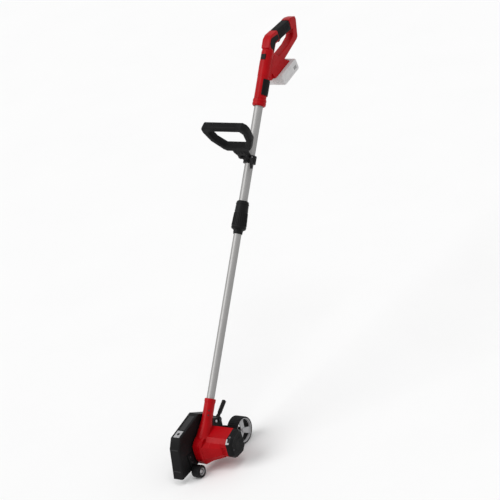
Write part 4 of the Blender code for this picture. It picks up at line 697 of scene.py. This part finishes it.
TYRE_RADIUS = 0.045
TYRE_BORE = 0.0405
TYRE_LEFT = 0.009
TYRE_RIGHT = 0.049
TREAD_BLOCKS = 40
STEPS_A_BLOCK = 6
BLOCK_SHARE = 0.66
TREAD_DEPTH = 0.0012
TREAD_WIDTH = 0.0185
middle_low = TYRE_LEFT + TREAD_WIDTH
middle_high = TYRE_RIGHT - TREAD_WIDTH
tyre_profile = [
    (TYRE_BORE, TYRE_LEFT), (TYRE_RADIUS - 0.0022, TYRE_LEFT), (TYRE_RADIUS - 0.0009, TYRE_LEFT + 0.0008),
    (TYRE_RADIUS - 0.0004, TYRE_LEFT + 0.0022), (TYRE_RADIUS - 0.0002, TYRE_LEFT + 0.0040),
    (TYRE_RADIUS - 0.0002, middle_low), (TYRE_RADIUS - 0.0014, middle_low + 0.0003),
    (TYRE_RADIUS - 0.0014, middle_high - 0.0003), (TYRE_RADIUS - 0.0002, middle_high),
    (TYRE_RADIUS - 0.0002, TYRE_RIGHT - 0.0040), (TYRE_RADIUS - 0.0004, TYRE_RIGHT - 0.0022),
    (TYRE_RADIUS - 0.0009, TYRE_RIGHT - 0.0008), (TYRE_RADIUS - 0.0022, TYRE_RIGHT), (TYRE_BORE, TYRE_RIGHT),
]
GROOVED = (4, 5, 8, 9)


def tread(share, radius):
    """The tyre's radius at one share of its turn: full on a block and lower in the groove after it."""
    place_in_block = (share * TREAD_BLOCKS) % 1.0
    return radius - (TREAD_DEPTH if place_in_block >= BLOCK_SHARE else 0.0)


work = bmesh.new()
turns = TREAD_BLOCKS * STEPS_A_BLOCK
rings = []
for step in range(turns):
    share = step / turns
    angle = 2.0 * math.pi * share
    ring = []
    for index, (radius, station) in enumerate(tyre_profile):
        reach = tread(share, radius) if index in GROOVED else radius
        ring.append(work.verts.new((station, reach * math.cos(angle), reach * math.sin(angle))))
    rings.append(ring)
wrap(work, rings)
tyre = show("tyre_with_tread", finished("tyre_with_tread", work), TYRE, "rear_wheel", WHEEL)
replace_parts(tyre, "wheel_tyre")

# Hub: a rim, three spokes with wide openings between them and a boss, grey in front, with painted shade in
# black on the rim and boss behind the spokes

HUB_RADIUS = 0.0401
HUB_RIM = 0.0367
HUB_BOSS = 0.0100
HUB_BORE = 0.0042
HUB_STEPS = 72
WEB_LEFT = TYRE_RIGHT - 0.008
WEB_RIGHT = TYRE_RIGHT - 0.004
SHADE_PAINT_END = WEB_LEFT - 0.0005
HUB_SET_IN = 0.001
hub_left = TYRE_LEFT + HUB_SET_IN
hub_right = TYRE_RIGHT - HUB_SET_IN
boss_left = TYRE_LEFT - HUB_SET_IN
SPOKES = 3
SPOKE_SPREAD = 17.0
BOSS_SPREAD = 58.0
rim_profile = [
    (HUB_RIM, hub_left), (HUB_RADIUS, hub_left), (HUB_RADIUS, SHADE_PAINT_END), (HUB_RADIUS, hub_right),
    (HUB_RIM + 0.0008, hub_right), (HUB_RIM, TYRE_RIGHT - 0.0025), (HUB_RIM, SHADE_PAINT_END),
]
boss_profile = [
    (HUB_BORE, boss_left), (HUB_BOSS, boss_left), (HUB_BOSS, SHADE_PAINT_END), (HUB_BOSS, WEB_RIGHT),
    (HUB_BORE, WEB_RIGHT),
]
work = bmesh.new()
turn(work, rim_profile, HUB_STEPS, "X")
turn(work, boss_profile, HUB_STEPS, "X")
for number in range(SPOKES):
    middle = 90.0 + FULL_TURN * number / SPOKES
    spoke = arc((0.0, 0.0), HUB_RIM + 0.0008, middle - SPOKE_SPREAD, middle + SPOKE_SPREAD, 8)
    spoke += arc((0.0, 0.0), HUB_BOSS - 0.0005, middle + BOSS_SPREAD, middle - BOSS_SPREAD, 6)
    extrude(work, spoke, WEB_LEFT, WEB_RIGHT, "X")
hub = show("hub_with_spokes", finished("hub_with_spokes", work), HUB, "rear_wheel", WHEEL, FINE_ROUND)
# painted shade: the faces behind the spoke web take the black material, standing in for the shade seen
# through the openings
hub.data.materials.append(BLACK)
for polygon in hub.data.polygons:
    if polygon.center.x < WEB_LEFT:
        polygon.material_index = 1
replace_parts(hub, "wheel_hub")

# Locking sleeve: ribs along its thick foot and rings at its ends

SLEEVE_START = 0.689
RIB_START = SLEEVE_START + 0.0265
RIB_END = SLEEVE_START + 0.0690
RIB_COUNT = 26
RIB_WIDTH = 0.0026
RIB_HALF_DEPTH = 0.0010
SKIN_AT_START = 0.0240
SKIN_AT_END = 0.0219
work = bmesh.new()
for number in range(RIB_COUNT):
    spin = Matrix.Rotation(2.0 * math.pi * number / RIB_COUNT, 4, "Z")
    made = bmesh.ops.create_cube(work, size=1.0)["verts"]
    for vert in made:
        at_end = vert.co.z > 0
        skin = SKIN_AT_END if at_end else SKIN_AT_START
        radius = skin + (RIB_HALF_DEPTH if vert.co.x > 0 else -RIB_HALF_DEPTH)
        vert.co = spin @ Vector((radius, vert.co.y * RIB_WIDTH, RIB_END if at_end else RIB_START))
show("sleeve_ribs", finished("sleeve_ribs", work), BLACK, "sleeve", TUBE, 0.0006)
SLEEVE_RING_HALF = 0.0016
SLEEVE_RING_EASE = 0.0006
SLEEVE_RING_SUNK = 0.0010
SLEEVE_RING_RAISED = 0.0008
for name, station, radius in (("sleeve_ring_top", SLEEVE_START + 0.0985, 0.0208),
                              ("sleeve_ring_middle", SLEEVE_START + 0.0760, 0.0213)):
    ring_mesh = hoop(name, radius, station - SLEEVE_RING_HALF, station + SLEEVE_RING_HALF, SLEEVE_RING_SUNK,
                     SLEEVE_RING_RAISED, SLEEVE_RING_EASE)
    show(name, ring_mesh, BLACK, "sleeve", TUBE, THIN_ROUND)

# Handle: front panel, side panels, collar rings and a frame round the plaque

HANDLE_RADIUS = 0.0203
FRONT_PANEL_LOW = 1.2150
FRONT_PANEL_HIGH = 1.2660
FRONT_PANEL_SUNK = 0.0006
FRONT_PANEL_RAISED = 0.0006
front_panel = shell("handle_front_panel", HANDLE_RADIUS, FRONT_PANEL_LOW, FRONT_PANEL_HIGH, FRONT_PANEL_SUNK,
                    FRONT_PANEL_RAISED, steps=24, start=-158.0, end=-30.0)
show("handle_front_panel", front_panel, RED, "telescope", TUBE, FINE_ROUND)
LOOP_HALF_WIDTH = 0.0155
SIDE_SUNK = 0.0006
SIDE_RAISED = 0.0007
panel_outline = rounded([
    (0.0035, 1.3010), (0.0118, 1.3010), (0.0128, 1.3355), (0.0300, 1.3522), (0.0170, 1.3655),
    (-0.0150, 1.3400), (-0.0150, 1.3200)], 0.004)
for name, low, high in (("side_panel_right", LOOP_HALF_WIDTH - SIDE_SUNK, LOOP_HALF_WIDTH + SIDE_RAISED),
                        ("side_panel_left", -LOOP_HALF_WIDTH - SIDE_RAISED, -LOOP_HALF_WIDTH + SIDE_SUNK)):
    show(name, slab(name, panel_outline, low, high), SOFT, "telescope", TUBE, FULL_ROUND)
COLLAR_START = 1.115
COLLAR_RADIUS = 0.0217
COLLAR_SUNK = 0.0008
COLLAR_RAISED = 0.0007
COLLAR_EASE = 0.0008
for name, low, high in (("collar_ring_low", 0.0035, 0.0125), ("collar_ring_high", 0.0150, 0.0225)):
    collar = hoop(name, COLLAR_RADIUS, COLLAR_START + low, COLLAR_START + high, COLLAR_SUNK, COLLAR_RAISED,
                  COLLAR_EASE)
    show(name, collar, RED, "telescope", TUBE, FINE_ROUND)
PLAQUE_RADIUS = HANDLE_RADIUS + 0.0029
PLAQUE_LOW = 1.1545
PLAQUE_HIGH = 1.2005
PLAQUE_SUNK = 0.0006
PLAQUE_RAISED = 0.0005
plaque_frame = shell("plaque_frame", PLAQUE_RADIUS, PLAQUE_LOW, PLAQUE_HIGH, PLAQUE_SUNK, PLAQUE_RAISED,
                     steps=20, start=-46.0, end=36.0)
show("plaque_frame", plaque_frame, SOFT, "telescope", TUBE, FINE_ROUND)

# Grip cover: rows of fine ribs on both sides

GRIP_RIBS = 12
GRIP_RIB_START = 0.0120
GRIP_RIB_LOW = 0.0110
GRIP_RIB_HIGH = 0.0270
GRIP_RIB_PITCH = 0.0050
GRIP_RIB_LENGTH = 0.0022
GRIP_SUNK = 0.0004
GRIP_RAISED = 0.0005
for name, low, high in (("grip_ribs_right", LOOP_HALF_WIDTH - GRIP_SUNK, LOOP_HALF_WIDTH + GRIP_RAISED),
                        ("grip_ribs_left", -LOOP_HALF_WIDTH - GRIP_RAISED, -LOOP_HALF_WIDTH + GRIP_SUNK)):
    ribs = []
    for number in range(GRIP_RIBS):
        start = GRIP_RIB_START + number * GRIP_RIB_PITCH
        ribs.append(((low, start, GRIP_RIB_LOW), (high, start + GRIP_RIB_LENGTH, GRIP_RIB_HIGH)))
    show(name, bars(name, ribs), SOFT, "telescope", GRIP, FINE_ROUND)

# Battery: frames and vents on its sides and ribs on its front

BATTERY_FRONT = 0.018
BATTERY_REAR = 0.118
BATTERY_LOW = -0.0418
BATTERY_HALF_WIDTH = 0.039
BATTERY_SUNK = 0.0005
BATTERY_RAISED = 0.0008
FRAME_MARGIN = 0.009
FRAME_TOP = -0.0085
FRAME_WIDTH = 0.0026
VENTS = 4
VENT_START = BATTERY_REAR - 0.030
VENT_PITCH = 0.0042
VENT_LENGTH = 0.0016
VENT_LOW = BATTERY_LOW + 0.0140
VENT_HIGH = BATTERY_LOW + 0.0250
VENT_LOWER = 0.0003
FRONT_RIBS = 8
FRONT_RIB_LEFT = 0.0050 - BATTERY_HALF_WIDTH
FRONT_RIB_LOW = BATTERY_LOW + 0.010
FRONT_RIB_HIGH = -0.010
FRONT_RIB_RAISED = 0.0007
FRONT_RIB_PITCH = 0.0085
FRONT_RIB_WIDTH = 0.0040
frame_low = BATTERY_LOW + FRAME_MARGIN
frame_front = BATTERY_FRONT + FRAME_MARGIN
frame_rear = BATTERY_REAR - FRAME_MARGIN
frame_outline = [(frame_front, frame_low), (frame_rear, frame_low),
                 (frame_rear, FRAME_TOP), (frame_front, FRAME_TOP)]
frame_outer = rounded(frame_outline, 0.005)
frame_inner = rounded(inset(frame_outline, FRAME_WIDTH), 0.004)
side_sunk = BATTERY_HALF_WIDTH - BATTERY_SUNK
side_raised = BATTERY_HALF_WIDTH + BATTERY_RAISED
for suffix, side in (("right", 1.0), ("left", -1.0)):
    low, high = sorted((side * side_sunk, side * side_raised))
    name = "battery_frame_" + suffix
    show(name, band(name, frame_outer, frame_inner, low, high), PALE, "battery", BASE, FINE_ROUND)
    name = "battery_vents_" + suffix
    vent_high = high - VENT_LOWER if side > 0 else high
    vents = []
    for number in range(VENTS):
        front = VENT_START + number * VENT_PITCH
        vents.append(((low, front, VENT_LOW), (vent_high, front + VENT_LENGTH, VENT_HIGH)))
    show(name, bars(name, vents), CHARCOAL, "battery", BASE, THIN_ROUND)
ribs = []
for number in range(FRONT_RIBS):
    left = FRONT_RIB_LEFT + number * FRONT_RIB_PITCH
    ribs.append(((left, BATTERY_FRONT - FRONT_RIB_RAISED, FRONT_RIB_LOW),
                 (left + FRONT_RIB_WIDTH, BATTERY_FRONT + BATTERY_SUNK, FRONT_RIB_HIGH)))
show("battery_front_ribs", bars("battery_front_ribs", ribs), PALE, "battery", BASE, FINE_ROUND)

# Auxiliary loop: ribs along its bar on three sides and three ribs on its stem

LOOP_TOP = 0.168
LOOP_HALF_BAND = 0.013
BAR_RIBS = 17
BAR_RIB_START = -0.0490
BAR_RIB_PITCH = 0.0060
BAR_RIB_LENGTH = 0.0028
BAR_SUNK = 0.0005
BAR_RAISED = 0.0007
TOP_HALF = 0.0058
SIDE_LOW = LOOP_TOP - 0.0160
SIDE_HIGH = LOOP_TOP - 0.0070
for name, low, high in (
        ("bar_ribs_top", (-TOP_HALF, LOOP_TOP - BAR_SUNK), (TOP_HALF, LOOP_TOP + BAR_RAISED)),
        ("bar_ribs_front", (-LOOP_HALF_BAND - BAR_RAISED, SIDE_LOW), (-LOOP_HALF_BAND + BAR_SUNK, SIDE_HIGH)),
        ("bar_ribs_back", (LOOP_HALF_BAND - BAR_SUNK, SIDE_LOW), (LOOP_HALF_BAND + BAR_RAISED, SIDE_HIGH))):
    ribs = []
    for number in range(BAR_RIBS):
        left = BAR_RIB_START + number * BAR_RIB_PITCH
        ribs.append(((left, low[0], low[1]), (left + BAR_RIB_LENGTH, high[0], high[1])))
    show(name, bars(name, ribs), SOFT, "aux_loop", AUX, FULL_ROUND)
STEM_RIB_HALF = 0.0010
STEM_RIB_FRONT = -0.0128
STEM_RIB_BACK = -0.0115
STEM_RIB_LOW = 0.0300
STEM_RIB_HIGH = 0.0500
ribs = [((middle - STEM_RIB_HALF, STEM_RIB_FRONT, STEM_RIB_LOW),
         (middle + STEM_RIB_HALF, STEM_RIB_BACK, STEM_RIB_HIGH)) for middle in (0.0, -0.0100, 0.0100)]
show("stem_web", bars("stem_web", ribs), SOFT, "aux_loop", AUX, FINE_ROUND)

# Floor, world and lights

FLOOR_COLOUR = (0.93, 0.93, 0.93)
FLOOR_HALF = 30.0
PAPER_LIFT = 1.01
PAPER_SCALE = 3.0

work = bmesh.new()
bmesh.ops.create_grid(work, x_segments=1, y_segments=1, size=FLOOR_HALF)
floor_mesh = bpy.data.meshes.new("floor")
work.to_mesh(floor_mesh)
work.free()
floor = bpy.data.objects.new("floor", floor_mesh)
scene.collection.objects.link(floor)
paper = Shader("floor_paper")
paper_light = tuple(channel * PAPER_LIFT for channel in FLOOR_COLOUR)
paper_tone = paper.remap(paper.noise(PAPER_SCALE), 0.0, 1.0)
paper.link(paper.blend(paper_tone, FLOOR_COLOUR, paper_light), "Base Color")
paper.set(Roughness=0.9, Specular_IOR_Level=0.0)
floor_mesh.materials.append(paper.material)

WORLD_LIGHT = 0.55
WORLD_SEEN = 0.95
world = bpy.data.worlds.new("studio")
world.use_nodes = True
scene.world = world
tree = world.node_tree
background = tree.nodes["Background"]  # seen brighter by the camera and in reflections than it lights
background.inputs["Color"].default_value = (1.0, 1.0, 1.0, 1.0)
path = tree.nodes.new("ShaderNodeLightPath")
seen = tree.nodes.new("ShaderNodeMath")
seen.operation = "MAXIMUM"
tree.links.new(path.outputs["Is Camera Ray"], seen.inputs[0])
tree.links.new(path.outputs["Is Glossy Ray"], seen.inputs[1])
through = tree.nodes.new("ShaderNodeMath")
through.operation = "MAXIMUM"
tree.links.new(seen.outputs[0], through.inputs[0])
tree.links.new(path.outputs["Is Transmission Ray"], through.inputs[1])
level = tree.nodes.new("ShaderNodeMapRange")
level.inputs["To Min"].default_value = WORLD_LIGHT
level.inputs["To Max"].default_value = WORLD_SEEN
tree.links.new(through.outputs[0], level.inputs["Value"])
tree.links.new(level.outputs["Result"], background.inputs["Strength"])


def sun(name, towards, strength, spread):
    """A soft far lamp; towards points from the machine to the lamp."""
    lamp = bpy.data.lights.new(name, "SUN")
    lamp.energy = strength
    lamp.angle = math.radians(spread)
    made = bpy.data.objects.new(name, lamp)
    made.rotation_euler = Vector(towards).to_track_quat("Z", "Y").to_euler()
    scene.collection.objects.link(made)


sun("key", towards=(-0.45, -0.62, 0.78), strength=1.50, spread=40.0)
sun("overhead", towards=(0.30, -0.10, 1.0), strength=0.50, spread=22.0)
